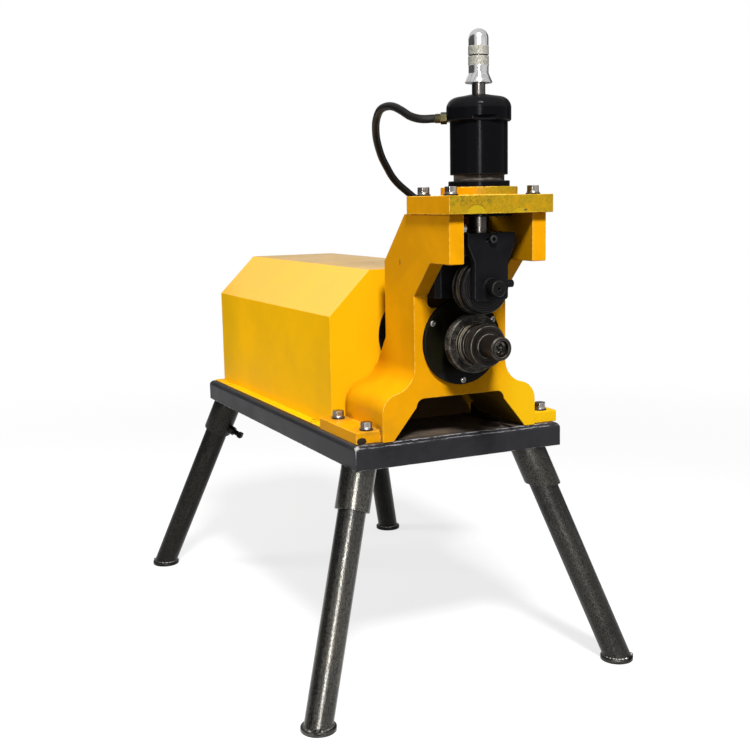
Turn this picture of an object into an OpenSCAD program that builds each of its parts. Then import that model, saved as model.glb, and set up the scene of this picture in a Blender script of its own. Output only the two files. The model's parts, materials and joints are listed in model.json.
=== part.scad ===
// Pipe roll groover on four splayed legs, in millimetres.
// X runs forwards to the rolls, Y to the machine's left, Z up. The origin is on the floor, under the middle.

/* [Base tray] */
// Length of the folded steel tray along X
tray_l = 800; // [740:1:860]
// Width of the tray
tray_w = 406; // [400:1:460]
// Height of the tray's top face above the floor
tray_top = 448; // [420:1:520]
// Depth of the folded skirt
tray_h = 42; // [36:1:60]
// Thickness of the sheet
tray_wall = 4; // [3:0.5:5]
// Radius of the folded top edges
tray_edge_r = 10; // [6:0.5:14]

/* [Legs] */
// Outside diameter of a leg tube
leg_d = 48.3; // [42:0.1:50]
// Wall of a leg tube
leg_wall = 3.2; // [2:0.1:5]
// Wall of a socket tube
socket_wall = 5.5; // [4:0.1:7]
// Radial clearance of a leg in its socket
leg_clear = 0.5; // [0.35:0.05:0.8]
// Length of a socket below the tray, along the leg
socket_l = 79; // [70:1:95]
// Diameter of a foot disc
foot_d = 60; // [54:1:80]
// Thickness of a foot disc
foot_h = 8; // [5:0.5:12]
// Distance of the front feet ahead of the origin
foot_front_x = 453; // [420:1:480]
// Distance of the rear feet behind the origin
foot_rear_x = 496; // [450:1:520]
// Distance of the front right foot from the middle plane
foot_front_right_y = 304; // [270:1:330]
// Distance of the front left foot from the middle plane
foot_front_left_y = 296; // [270:1:330]
// Distance of the rear right foot from the middle plane
foot_rear_right_y = 300; // [270:1:330]
// Distance of the rear left foot from the middle plane
foot_rear_left_y = 292; // [270:1:330]
// Distance of the socket tops from the origin along X
socket_x = 356; // [340:1:360]
// Distance of the rear sockets' tops from the middle plane
socket_rear_y = 172; // [165:1:176]
// Distance of the front right socket's top from the middle plane
socket_front_right_y = 177; // [160:1:180]
// Distance of the front left socket's top from the middle plane
socket_front_left_y = 158; // [150:1:176]
// Thread diameter of a leg clamp bolt
clamp_d = 12; // [10:1:14]

/* [Head casting] */
// Front face of the head
head_front = 396; // [390:1:402]
// Back face of the upper head
head_back = 287; // [280:1:292]
// Width of the upper head
head_w = 179; // [170:1:190]
// Width of the skirt at its shoulders
skirt_w = 302; // [290:1:312]
// Back face of the skirt
skirt_back = 246; // [243:1:250]
// Height of the head above the tray
head_h = 377; // [365:1:385]
// How far the arms reach ahead of the front face
arm_reach = 121; // [110:1:125]
// Height of an arm at its end
arm_h = 78; // [70:1:84]
// Width of the slide channel between the arms
channel_w = 127; // [122:1:130]
// Width of the bolted feet across the head
head_foot_w = 392; // [386:1:397]
// Thickness of the bolted feet
head_foot_h = 20; // [14:1:24]
// Thread diameter of the bolts that hold the head
head_bolt_d = 12; // [10:1:12]
// Distance of the head's right bolts from the middle plane
head_bolt_right_y = 169; // [167:1:176]
// Distance of the head's left bolts from the middle plane
head_bolt_left_y = 179; // [170:1:182]

/* [Spindle and rolls] */
// Height of the spindle's axis above the tray
spindle_up = 162; // [160:1:166]
// Diameter of the spindle in its front bearings
spindle_d = 60; // [55:1:62]
// Outside diameter of the spindle bearings
bearing_d = 105; // [95:1:108]
// Width of each spindle bearing
bearing_w = 22; // [18:1:26]
// Diameter of the bearing cover
cover_d = 149; // [140:1:152]
// Diameter of the drive roll's stop flange
stop_flange_d = 100; // [92:1:104]
// Diameter of the drive roll's tread
tread_d = 73; // [68:1:76]
// Depth of the groove in the drive roll
groove_deep = 5.5; // [3:0.5:7]
// Diameter of the drive roll's nose
nose_d = 38.8; // [34:0.2:42]
// Diameter of the upper roll
upper_roll_d = 92; // [86:0.5:93]
// Distance between the two roll axes with the rolls open
roll_gap = 96; // [95.5:0.5:98]
// Diameter of the upper roll's pin
pin_d = 27; // [24:0.5:30]

/* [Ram and cylinder] */
// Thickness of the top plate
plate_h = 29; // [24:1:32]
// Outside diameter of the cylinder barrel
barrel_d = 93; // [88:1:98]
// Bore of the cylinder
bore_d = 70; // [60:1:76]
// Diameter of the cylinder cap
cap_d = 104; // [98:1:110]
// Diameter of the lower ram rod
ram_d = 34; // [28:1:38]
// Diameter of the depth rod above the piston
depth_rod_d = 21.6; // [18:0.2:24]

/* [Hood] */
// Thickness of the hood's sheet
hood_wall = 2; // [1.5:0.5:3]
// Width of the hood
hood_w = 352; // [346:1:358]
// Height of the hood above the tray
hood_h = 279; // [275:1:290]
// Width of each bevel along the hood's top, and its drop
hood_bevel = 79; // [70:1:82]
// Front face of the hood
hood_front = 241; // [236:1:243]
// Back face of the hood
hood_back = -372; // [-376:1:-366]
// Diameter of the hole in the hood's front
hood_hole_d = 169; // [160:1:172]

/* [Hydraulics] */
// Outside diameter of the hose
hose_d = 13.4; // [12:0.1:14]
// Diameter of the pump's oil tube
oil_tube_d = 64; // [58:1:68]

/* [Hidden] */
$fn = 72;

// Colours
paint_yellow = "#f2b010";
paint_dark = "#3a3b3d";
black_oxide = "#1d1d1f";
bright_steel = "#b9bcc0";
worn_steel = "#5f5850";
brass_colour = "#b08d3c";

// Clearances: a close running fit, a seat that only clears, and a sliding face
fit = 0.05;
seat = 0.1;
slide_clear = 0.5;
// Depth to which a cut runs past a face
past = 1;

// Heights
tray_bottom = tray_top - tray_h;
spindle_z = tray_top + spindle_up;
roll_z = spindle_z + roll_gap;
head_top = tray_top + head_h;
plate_top = head_top + plate_h;
foot_top = tray_top + head_foot_h;
// Thickness of the bearing cover in front of the head
cover_h = 7;

// Orients Z along a direction
module along(direction) {
    rotate([0, acos(direction.z / norm(direction)), atan2(direction.y, direction.x)]) children();
}

// A round bar or disc along X between two places
module bar_x(x0, x1, d) {
    translate([x0, 0, 0]) rotate([0, 90, 0]) cylinder(h = x1 - x0, d = d);
}

// A tapered round bar along X between two places
module cone_x(x0, x1, d0, d1) {
    translate([x0, 0, 0]) rotate([0, 90, 0]) cylinder(h = x1 - x0, d1 = d0, d2 = d1);
}

// A round bar along Y between two places
module bar_y(y0, y1, d) {
    translate([0, y0, 0]) rotate([-90, 0, 0]) cylinder(h = y1 - y0, d = d);
}

// A block between two corners
module block(low, high) {
    translate(low) cube(high - low);
}

// Draws a YZ outline and gives it length along X
module outline_x(x0, x1) {
    translate([x0, 0, 0]) rotate([90, 0, 90]) linear_extrude(x1 - x0) children();
}

// Draws an XZ outline and gives it length along Y, both ways from the middle
module outline_y(width) {
    translate([0, width / 2, 0]) rotate([90, 0, 0]) linear_extrude(width) children();
}

// A slab whose two upper edges are round, seen along its length
module round_top(w, low, high, r) {
    translate([-w / 2, low]) square([w, high - low - r]);
    translate([-w / 2 + r, low]) square([w - 2 * r, high - low]);
    for (side = [-1, 1]) translate([side * (w / 2 - r), high - r]) circle(r);
}

// A hexagon head or nut across its flats
module hex(flats, h) {
    cylinder(h = h, d = flats / cos(30), $fn = 6);
}

// Width across flats of a hexagon head for a thread, and the height of that head
function flats(d) = 1.5 * d;
function washer_d(d) = 1.95 * d;
function head_height(d) = 0.75 * d;
washer_h = 2.5;
spring_washer_h = 2.6;

// A bolt that stands on a face: flat washer, spring washer and hexagon head, with its shank below
module hex_bolt(d, shank) {
    difference() {
        cylinder(h = washer_h, d = washer_d(d));
        translate([0, 0, -past]) cylinder(h = washer_h + 2 * past, d = d + 2 * seat);
    }
    difference() {
        translate([0, 0, washer_h]) cylinder(h = spring_washer_h, d = 1.65 * d);
        translate([0, 0, washer_h - past]) cylinder(h = spring_washer_h + 2 * past, d = d + 2 * seat);
    }
    intersection() {
        translate([0, 0, washer_h + spring_washer_h]) rotate([0, 0, 20]) hex(flats(d), head_height(d));
        translate([0, 0, washer_h + spring_washer_h - 0.55 * d])
            cylinder(h = head_height(d) + 0.55 * d, d1 = 3.2 * d, d2 = 1.62 * d);
    }
    translate([0, 0, -shank]) cylinder(h = shank + washer_h + spring_washer_h, d = d);
}

// Base tray
module tray_solid(inset) {
    w = tray_w - 2 * inset;
    l = tray_l - 2 * inset;
    r = tray_edge_r - inset;
    low = inset > 0 ? tray_bottom - past : tray_bottom;
    intersection() {
        outline_x(-l / 2, l / 2) round_top(w, low, tray_top - inset, r);
        outline_y(w) round_top(l, low, tray_top - inset, r);
    }
}

gusset_h = 5;
gusset_reach = 96;
module base_tray() {
    color(paint_dark) difference() {
        union() {
            difference() {
                tray_solid(0);
                tray_solid(tray_wall);
            }
            for (sx = [-1, 1], sy = [-1, 1]) block_at_corner(sx, sy);
        }
        for (p = head_bolt_places) translate([p.x, p.y, tray_bottom])
            cylinder(h = tray_h + past, d = head_bolt_d + 2 * seat);
        for (p = gearbox_bolt_places) translate([p.x, p.y, tray_bottom])
            cylinder(h = tray_h + past, d = gearbox_bolt_d + 2 * seat);
        for (p = hood_screw_places) translate([p.x, p.y, tray_bottom])
            cylinder(h = tray_h + past, d = hood_screw_d + 2 * seat);
    }
}

// The flat corner plate that a socket is welded to
module block_at_corner(sx, sy) {
    x0 = tray_l / 2 - tray_wall - gusset_reach;
    y0 = tray_w / 2 - tray_wall - gusset_reach;
    intersection() {
        translate([sx > 0 ? x0 : -x0 - 2 * gusset_reach, sy > 0 ? y0 : -y0 - 2 * gusset_reach, tray_bottom])
            cube([2 * gusset_reach, 2 * gusset_reach, gusset_h]);
        block([-tray_l / 2 + 1, -tray_w / 2 + 1, tray_bottom], [tray_l / 2 - 1, tray_w / 2 - 1, tray_top]);
    }
}

// Legs: each lies on a line from the middle of its foot disc to its socket's top
function foot_y(front, left) = front
    ? (left ? foot_front_left_y : -foot_front_right_y)
    : (left ? foot_rear_left_y : -foot_rear_right_y);
function head_y(front, left) = front
    ? (left ? socket_front_left_y : -socket_front_right_y)
    : (left ? socket_rear_y : -socket_rear_y);
function leg_foot(front, left) = [front ? foot_front_x : -foot_rear_x, foot_y(front, left), foot_h];
function leg_head(front, left) = [front ? socket_x : -socket_x, head_y(front, left), tray_bottom];
function leg_line(front, left) = leg_head(front, left) - leg_foot(front, left);
leg_depth = 27;

// Places a child with its Z along a leg, its origin at the socket's top and its X towards the middle
module on_leg(front, left) {
    translate(leg_head(front, left)) along(leg_line(front, left)) children();
}

// A round bar on a leg's line between two distances from the socket's top
module leg_bar(front, left, z0, z1, d) {
    on_leg(front, left) rotate([0, 0, 90]) translate([0, 0, z0]) cylinder(h = z1 - z0, d = d);
}

// How far a clamp bolt is turned around its leg from facing the middle
function clamp_turn(front, left) = front ? (left ? -82 : 24) : 0;
clamp_up = -socket_l + 17;
clamp_nut_h = 10;
clamp_tip_gap = 0.3;
socket_d = leg_d + 2 * leg_clear + 2 * socket_wall;

// Places a child with its Z out of a clamp nut, its origin on the leg's line
module on_clamp(front, left) {
    on_leg(front, left) rotate([0, 0, clamp_turn(front, left)]) translate([0, 0, clamp_up])
        rotate([0, 90, 0]) children();
}

module leg_socket(front, left) {
    color(paint_dark) difference() {
        union() {
            leg_bar(front, left, -socket_l, socket_l, socket_d);
            on_clamp(front, left) translate([0, 0, socket_d / 2 - 2]) hex(1.5 * clamp_d, clamp_nut_h + 2);
        }
        leg_bar(front, left, -socket_l - past, socket_l + past, leg_d + 2 * leg_clear);
        on_clamp(front, left) cylinder(h = socket_d, d = clamp_d + 2 * fit);
        block([-tray_l, -tray_w, tray_bottom], [tray_l, tray_w, tray_top + 2 * socket_l]);
    }
}

module leg(front, left) {
    l = norm(leg_line(front, left));
    color(paint_dark) union() {
        difference() {
            leg_bar(front, left, -l - leg_d, -leg_depth, leg_d);
            leg_bar(front, left, -l - 2 * leg_d, leg_d, leg_d - 2 * leg_wall);
            translate([-tray_l, -tray_w, -2 * leg_d]) cube([2 * tray_l, 2 * tray_w, 2 * leg_d + foot_h]);
            // drain slot at the front of the tube, just above the disc
            translate(leg_foot(front, left) - [0, drain_w / 2, past]) cube([leg_d, drain_w, drain_h + past]);
        }
        translate(leg_foot(front, left) - [0, 0, foot_h]) foot_disc();
    }
}

drain_w = 10;
drain_h = 3;
module foot_disc() {
    chamfer = 1.5;
    cylinder(h = foot_h - chamfer, d = foot_d);
    translate([0, 0, foot_h - chamfer]) cylinder(h = chamfer, d1 = foot_d, d2 = foot_d - 2 * chamfer);
}

module leg_clamp_bolt(front, left) {
    tip = leg_d / 2 + clamp_tip_gap;
    head_at = socket_d / 2 + clamp_nut_h + 12;
    color(black_oxide) on_clamp(front, left) {
        translate([0, 0, tip]) cylinder(h = head_at - tip, d = clamp_d);
        translate([-clamp_d / 2, -clamp_d / 2, head_at]) cube([clamp_d, clamp_d, 0.75 * clamp_d]);
    }
}

// Head casting
head_foot_front = head_front - 9;
head_foot_back = hood_front - 9;
// How much further out the left foot ends than the right one
foot_left_more = 7;
head_bolt_x = [hood_front + 13, head_foot_front - 17];
head_bolt_places = [for (x = head_bolt_x, y = [-head_bolt_right_y, head_bolt_left_y]) [x, y]];

// Radii of the skirt's hollow bend and of its shoulder, and the centres of both
bend_r = 43;
shoulder_r = 34.5;
shoulder_y = skirt_w / 2 - shoulder_r;
shoulder_z = tray_top + 47;
bend_y = head_w / 2 + bend_r;
bend_z = shoulder_z + sqrt(pow(bend_r + shoulder_r, 2) - pow(bend_y - shoulder_y, 2));
meet_y = shoulder_y + (bend_y - shoulder_y) * shoulder_r / (bend_r + shoulder_r);
meet_z = shoulder_z + (bend_z - shoulder_z) * shoulder_r / (bend_r + shoulder_r);

// Front view of the head: a straight body on a skirt with round shoulders
module head_front_view() {
    translate([-head_w / 2, tray_top]) square([head_w, head_h]);
    translate([-skirt_w / 2, tray_top]) square([skirt_w, shoulder_z - tray_top]);
    for (side = [-1, 1]) scale([side, 1]) {
        translate([shoulder_y, shoulder_z]) circle(shoulder_r);
        difference() {
            polygon([[0, bend_z], [bend_y, bend_z], [meet_y, meet_z], [shoulder_y, shoulder_z], [0, shoulder_z]]);
            translate([bend_y, bend_z]) circle(bend_r);
        }
    }
}

// Side view of the head: a C that carries the arms at its top
module head_side_view() {
    arm_low = head_top - arm_h;
    slope = 57;
    polygon([
        [skirt_back, tray_top], [skirt_back, bend_z - 18], [head_back, bend_z + 41], [head_back, arm_low - 3],
        [head_back + 78, head_top], [head_front + arm_reach, head_top], [head_front + arm_reach, arm_low],
        [head_front + slope, arm_low], [head_front, arm_low - slope], [head_front, tray_top]
    ]);
}

channel_back = head_front - 26;
channel_low = spindle_z + bearing_d / 2 + 6;
// Tunnel under the head: half widths at its foot and at its top, and its height
tunnel_foot = 131;
tunnel_top = 86;
tunnel_h = 68;
module tunnel_view() {
    r = 14;
    polygon([
        [-tunnel_foot, tray_top - past], [tunnel_foot, tray_top - past],
        [tunnel_top, tray_top + tunnel_h - r], [-tunnel_top, tray_top + tunnel_h - r]
    ]);
    translate([-tunnel_top + r, tray_top + tunnel_h - 2 * r]) square([2 * tunnel_top - 2 * r, 2 * r]);
    for (side = [-1, 1]) translate([side * (tunnel_top - r), tray_top + tunnel_h - r]) circle(r);
}

front_bearing_x = head_front - 8 - bearing_w;
rear_bearing_x = head_back + 5;
module head_casting() {
    r = 10;
    color(paint_yellow) difference() {
        union() {
            intersection() {
                outline_x(skirt_back, head_front + arm_reach) head_front_view();
                outline_y(2 * skirt_w) head_side_view();
            }
            block([head_foot_back, -head_foot_w / 2, tray_top], [head_foot_front, head_foot_w / 2 + foot_left_more, foot_top]);
        }
        // slide channel between the arms, with round lower corners
        outline_x(channel_back, head_front + arm_reach + past) {
            translate([-channel_w / 2, channel_low + r]) square([channel_w, head_top - channel_low]);
            translate([-channel_w / 2 + r, channel_low]) square([channel_w - 2 * r, head_top - channel_low]);
            for (side = [-1, 1]) translate([side * (channel_w / 2 - r), channel_low + r]) circle(r);
        }
        outline_x(head_foot_back - past, head_front + past) tunnel_view();
        translate([0, 0, spindle_z]) {
            bar_x(head_back - past, head_front + past, spindle_d + 14);
            bar_x(front_bearing_x, head_front + past, bearing_d + 2 * seat);
            bar_x(skirt_back - past, rear_bearing_x + bearing_w, bearing_d + 2 * seat);
            for (a = cover_screw_turns) rotate([a, 0, 0]) translate([0, cover_screw_r, 0])
                bar_x(head_front - cover_screw_l - past, head_front + past, cover_screw_d + 2 * seat);
        }
        for (p = head_bolt_places) translate([p.x, p.y, tray_top - past])
            cylinder(h = head_foot_h + 2 * past, d = head_bolt_d + 2 * seat);
        for (p = plate_bolt_places) translate([p.x, p.y, head_top - plate_bolt_l - past])
            cylinder(h = plate_bolt_l + 2 * past, d = plate_bolt_d + 2 * seat);
        translate([arm_bolt_x, 0, arm_bolt_z]) bar_y(-channel_w / 2 - arm_bolt_l - past, 0, arm_bolt_d + 2 * seat);
    }
}

module head_bolts() {
    color(bright_steel) for (p = head_bolt_places) translate([p.x, p.y, foot_top])
        hex_bolt(head_bolt_d, head_foot_h + tray_wall + 8);
}

// A short hexagon bolt in the right arm's inner face
arm_bolt_d = 8;
arm_bolt_l = 14;
arm_bolt_x = head_front + arm_reach - 10;
arm_bolt_z = head_top - 22;
module arm_bolt() {
    color(bright_steel) translate([arm_bolt_x, -channel_w / 2, arm_bolt_z]) rotate([-90, 0, 0]) {
        hex(flats(arm_bolt_d), head_height(arm_bolt_d) + 2);
        translate([0, 0, -arm_bolt_l]) cylinder(h = arm_bolt_l, d = arm_bolt_d);
    }
}

// Top plate with the cylinder's boss
cylinder_x = head_front + 61;
plate_l = 143;
plate_w = 191;
plate_bolt_d = 12;
plate_bolt_l = 17;
plate_bolt_places = [for (x = [-48, 42], y = [-76, 76]) [cylinder_x + x, y]];
boss_d = 124;
boss_h = 13;
boss_top = plate_top + boss_h;
neck_d = barrel_d - 11;
module top_plate() {
    color(paint_yellow) difference() {
        union() {
            block([cylinder_x - plate_l / 2, -plate_w / 2, head_top], [cylinder_x + plate_l / 2, plate_w / 2, plate_top]);
            translate([cylinder_x, 0, plate_top]) cylinder(h = boss_h, d = boss_d);
        }
        translate([cylinder_x, 0, head_top - past]) cylinder(h = plate_h + boss_h + 2 * past, d = neck_d + 2 * fit);
        for (p = plate_bolt_places) translate([p.x, p.y, head_top - past]) {
            cylinder(h = plate_h + 2 * past, d = plate_bolt_d + 2 * seat);
            translate([0, 0, plate_h + past]) cylinder(h = boss_h + past, d = 2 * plate_bolt_d + 2);
        }
    }
}

module top_plate_bolts() {
    color(bright_steel) for (p = plate_bolt_places) translate([p.x, p.y, plate_top])
        hex_bolt(plate_bolt_d, plate_h + plate_bolt_l - 3);
}

// Cylinder
ring_nut_d = 99;
ring_nut_h = 9.5;
barrel_low = boss_top + ring_nut_h + 9.5;
barrel_h = 84;
barrel_top = barrel_low + barrel_h;
barrel_foot = head_top - 5;
barrel_lip_d = neck_d + 25;
barrel_floor = barrel_foot + 16;
cap_h = 43;
cap_top = barrel_top + cap_h;
module cylinder_ring_nut() {
    color(black_oxide) translate([cylinder_x, 0, boss_top]) difference() {
        cylinder(h = ring_nut_h, d = ring_nut_d);
        translate([0, 0, -past]) cylinder(h = ring_nut_h + 2 * past, d = neck_d + 2 * fit);
        for (a = [30:90:300]) rotate([0, 0, a]) translate([ring_nut_d / 2 - 4, -4, 2]) cube([8, 8, ring_nut_h]);
    }
}

module cylinder_barrel() {
    color(black_oxide) translate([cylinder_x, 0, 0]) difference() {
        union() {
            translate([0, 0, barrel_foot]) cylinder(h = barrel_top - barrel_foot, d = neck_d);
            translate([0, 0, barrel_low]) cylinder(h = barrel_h, d = barrel_d);
            translate([0, 0, barrel_foot]) cylinder(h = head_top - barrel_foot, d = barrel_lip_d);
        }
        translate([0, 0, barrel_floor]) cylinder(h = barrel_top, d = bore_d);
        translate([0, 0, barrel_foot - past]) cylinder(h = 20, d = ram_d + 2 * fit);
    }
}

port_turn = 235;
port_z = barrel_top + 7;
port_d = 8;
port_seat = 1;
cap_r = 18;
cap_shoulder = cap_h - 4.5 - cap_r;
module cylinder_cap() {
    chamfer = 2;
    // the crown is a shallow cone that runs into the shoulder's arc where their slopes agree
    crown_tilt = 9;
    crown_x = cap_d / 2 - cap_r + cap_r * sin(crown_tilt);
    crown_z = cap_shoulder + cap_r * cos(crown_tilt);
    color(black_oxide) translate([cylinder_x, 0, barrel_top]) difference() {
        rotate_extrude() {
            polygon([
                [0, 0], [cap_d / 2 - chamfer, 0], [cap_d / 2, chamfer], [cap_d / 2, cap_shoulder],
                [cap_d / 2 - cap_r, cap_shoulder], [crown_x, crown_z], [depth_rod_d / 2, cap_h], [0, cap_h]
            ]);
            translate([cap_d / 2 - cap_r, cap_shoulder]) intersection() {
                circle(cap_r);
                square(cap_r);
                rotate(-crown_tilt) translate([-cap_r, -cap_r]) square([2 * cap_r, 2 * cap_r]);
            }
        }
        translate([0, 0, -past]) cylinder(h = cap_h + 2 * past, d = depth_rod_d + 2 * fit);
        // wrench flat at the front
        rotate([0, 0, cap_flat_turn]) translate([cap_d / 2 - 4, -cap_d / 2, -past])
            cube([cap_d, cap_d, 7.5 + past]);
        translate([0, 0, port_z - barrel_top]) rotate([0, 90, port_turn]) {
            cylinder(h = cap_d, d = port_d);
            translate([0, 0, cap_d / 2 - port_seat]) cylinder(h = cap_d, d = fitting_flats / cos(30) + 1.4);
        }
        translate([0, 0, -past]) rotate([0, 0, port_turn]) translate([port_reach, 0, 0])
            cylinder(h = port_z - barrel_top + past, d = port_d);
    }
}
port_reach = 24;
cap_flat_turn = -19;

piston_h = 20;
piston_z = barrel_floor + 86;
module piston() {
    color(bright_steel) translate([cylinder_x, 0, piston_z]) difference() {
        cylinder(h = piston_h, d = bore_d - 2 * fit);
        for (z = [5, 12]) translate([0, 0, z]) difference() {
            cylinder(h = 3, d = bore_d + past);
            translate([0, 0, -past]) cylinder(h = 3 + 2 * past, d = bore_d - 8);
        }
    }
}

// Return spring: a round wire wound under the piston
spring_wire = 5;
spring_r = bore_d / 2 - spring_wire / 2 - 2.5;
spring_turns = 7;
spring_steps = 16;
spring_sides = 6;
module return_spring() {
    low = barrel_floor + spring_wire / 2 + 0.3;
    high = piston_z - spring_wire / 2 - 0.3;
    rings = spring_turns * spring_steps;
    rise = (high - low) / rings;
    points = [
        for (i = [0:rings]) let (a = 360 * i / spring_steps)
            for (k = [0:spring_sides - 1]) let (b = 360 * k / spring_sides)
                let (r = spring_r + spring_wire / 2 * cos(b))
                    [r * cos(a), r * sin(a), low + i * rise + spring_wire / 2 * sin(b)]
    ];
    color(bright_steel) translate([cylinder_x, 0, 0]) polyhedron(points, tube_faces(rings, spring_sides), convexity = 8);
}

// Triangles of a tube with a ring of points at each step, closed at both ends
function tube_faces(rings, sides) = concat(
    [for (i = [0:rings - 1], k = [0:sides - 1]) let (n = (k + 1) % sides)
        [i * sides + k, (i + 1) * sides + k, (i + 1) * sides + n]],
    [for (i = [0:rings - 1], k = [0:sides - 1]) let (n = (k + 1) % sides)
        [i * sides + k, (i + 1) * sides + n, i * sides + n]],
    [[for (k = [0:sides - 1]) k]],
    [[for (k = [0:sides - 1]) rings * sides + sides - 1 - k]]
);

slider_top = roll_z + 88;
ram_in_slider = 22;
module ram_rod() {
    color(bright_steel) translate([cylinder_x, 0, slider_top - ram_in_slider])
        cylinder(h = piston_z - slider_top + ram_in_slider, d = ram_d);
}

// Depth rod, its nut and its lock cap
skirt_low = cap_top + 17;
skirt_h = 14;
skirt_d = 43;
knob_d = 33;
knob_turn = 6;
depth_nut_h = 43;
lock_cap_h = 42;
rod_top = skirt_low + depth_nut_h + lock_cap_h - 14;
module depth_rod() {
    color(bright_steel) translate([cylinder_x, 0, piston_z + piston_h])
        cylinder(h = rod_top - piston_z - piston_h, d = depth_rod_d);
}

// A round grip with straight knurls
module knurl(d, h, count) {
    difference() {
        cylinder(h = h, d = d);
        for (i = [0:count - 1]) rotate([0, 0, 360 * i / count]) translate([d / 2, 0, -past])
            rotate([0, 0, 45]) translate([-0.5, -0.5, 0]) cube([1.1, 1.1, h + 2 * past]);
    }
}

module depth_nut() {
    color(bright_steel) translate([cylinder_x, 0, skirt_low]) difference() {
        union() {
            cylinder(h = 3, d = skirt_d);
            translate([0, 0, 3]) cylinder(h = skirt_h - 3, d1 = skirt_d, d2 = knob_d - 3);
            translate([0, 0, skirt_h]) cylinder(h = 13, d = knob_d - 2);
            translate([0, 0, skirt_h + 13]) knurl(knob_d, 13, 36);
            translate([0, 0, skirt_h + 26]) cylinder(h = depth_nut_h - skirt_h - 26, d = knob_d - 5);
        }
        translate([0, 0, -past]) cylinder(h = depth_nut_h + 2 * past, d = depth_rod_d + 2 * fit);
    }
}

module lock_cap() {
    dome = 12;
    color(bright_steel) translate([cylinder_x, 0, skirt_low + depth_nut_h]) difference() {
        union() {
            translate([0, 0, 0.3]) knurl(knob_d, 14, 36);
            translate([0, 0, 14]) cylinder(h = lock_cap_h - 14 - dome, d = knob_d - 1);
            translate([0, 0, lock_cap_h - dome]) intersection() {
                translate([0, 0, dome - knob_d / 2]) sphere(d = knob_d - 1);
                cylinder(h = dome, d = knob_d);
            }
        }
        translate([0, 0, -past]) cylinder(h = lock_cap_h - 14 + past + 0.3, d = depth_rod_d + 2 * fit);
    }
}

// Slider: a block guided between the arms, with a bridge over the roll to its front plate
slider_w = channel_w - 2 * slide_clear;
slider_back = channel_back + slide_clear;
slider_front = cylinder_x - 29;
slider_low = roll_z - 19;
bridge_low = roll_z + 52;
bridge_w = 88;
roll_back = cylinder_x - 11.5;
roll_l = 32.5;
plate_back = roll_back + roll_l + 4;
plate_t = 14;
plate_front = plate_back + plate_t;
plate_middle = plate_back + plate_t / 2;
plate_neck = 62;
boss_out = 4;
module slider_block() {
    edge = 7.5;
    color(black_oxide) difference() {
        union() {
            translate([slider_back, 0, slider_low]) linear_extrude(slider_top - slider_low) polygon([
                [0, -slider_w / 2], [slider_front - slider_back - edge, -slider_w / 2],
                [slider_front - slider_back, -slider_w / 2 + edge], [slider_front - slider_back, slider_w / 2 - edge],
                [slider_front - slider_back - edge, slider_w / 2], [0, slider_w / 2]
            ]);
            block([slider_front - 1, -bridge_w / 2, bridge_low], [plate_back, bridge_w / 2, slider_top]);
            // collar that holds the roll off the block
            translate([0, 0, roll_z]) bar_x(slider_front - 1, roll_back - 0.5, pin_d + 16);
        }
        translate([0, 0, roll_z]) bar_x(pin_back - 2, roll_back, pin_d + 2 * fit);
        // relief that lets the slider come down in front of the bearing cover
        translate([0, 0, spindle_z + ram_down]) bar_x(head_front - 1, pin_back - 3, cover_d + 2);
        translate([cylinder_x, 0, slider_top - ram_in_slider]) cylinder(h = ram_in_slider + past, d = ram_d + 2 * fit);
        translate([0, 0, slider_screw_z]) bar_x(plate_back - slider_screw_l, plate_back + past, slider_screw_d + 2 * seat);
        for (p = dowel_places) translate([0, p.x, p.y])
            bar_x(plate_back + dowel_in - dowel_l, plate_back + past, dowel_d + 2 * seat);
    }
}

// Furthest way of the ram down from where the rolls are open
ram_down = 12;
slider_screw_d = 8;
slider_screw_head = 12;
slider_screw_l = 7.5;
slider_screw_z = slider_top - 10;
dowel_d = 10;
dowel_l = 20;
dowel_in = 9;
dowel_places = [for (side = [-1, 1]) [side * 26, slider_top - 20]];
module slider_front_plate() {
    r = 6;
    color(black_oxide) difference() {
        union() {
            outline_x(plate_back, plate_front) {
                polygon([
                    [-bridge_w / 2, slider_top], [-bridge_w / 2, slider_top - 18], [-plate_neck / 2, slider_top - 46],
                    [-plate_neck / 2, slider_low - 1 + r], [plate_neck / 2, slider_low - 1 + r],
                    [plate_neck / 2, slider_top - 46], [bridge_w / 2, slider_top - 18], [bridge_w / 2, slider_top]
                ]);
                translate([-plate_neck / 2 + r, slider_low - 1]) square([plate_neck - 2 * r, 2 * r]);
                for (side = [-1, 1]) translate([side * (plate_neck / 2 - r), slider_low - 1 + r]) circle(r);
            }
            translate([0, 0, roll_z]) bar_x(plate_front - 1, plate_front + boss_out, pin_d + 5);
        }
        translate([0, 0, roll_z]) bar_x(plate_back - past, plate_front + boss_out + past, pin_d + 2 * fit);
        translate([0, 0, slider_screw_z]) {
            bar_x(plate_back - past, plate_front + past, slider_screw_d + 2 * seat);
            bar_x(plate_front - 4, plate_front + past, slider_screw_head + 2 * seat);
        }
        for (p = dowel_places) translate([0, p.x, p.y]) bar_x(plate_back - past, plate_back + dowel_in, dowel_d + 2 * seat);
        translate([plate_middle, 0, pin_screw_z]) bar_y(0, plate_neck, pin_screw_d + 2 * seat);
        // small threaded hole beside the screw
        translate([0, -9, slider_screw_z - 1]) bar_x(plate_front - 6, plate_front + past, 5);
    }
}

// The socket-head screw that shows in the plate's top, and two blind dowels behind the plate
module slider_fasteners() {
    color(black_oxide) {
        translate([0, 0, slider_screw_z]) difference() {
            union() {
                bar_x(plate_back - slider_screw_l, plate_front - 4, slider_screw_d);
                bar_x(plate_front - 4, plate_front + 2, slider_screw_head);
            }
            translate([plate_front - 2, 0, 0]) rotate([0, 90, 0]) cylinder(h = 4 + past, d = 7, $fn = 6);
        }
        for (p = dowel_places) translate([0, p.x, p.y]) bar_x(plate_back + dowel_in - dowel_l, plate_back + dowel_in, dowel_d);
    }
}

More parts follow.
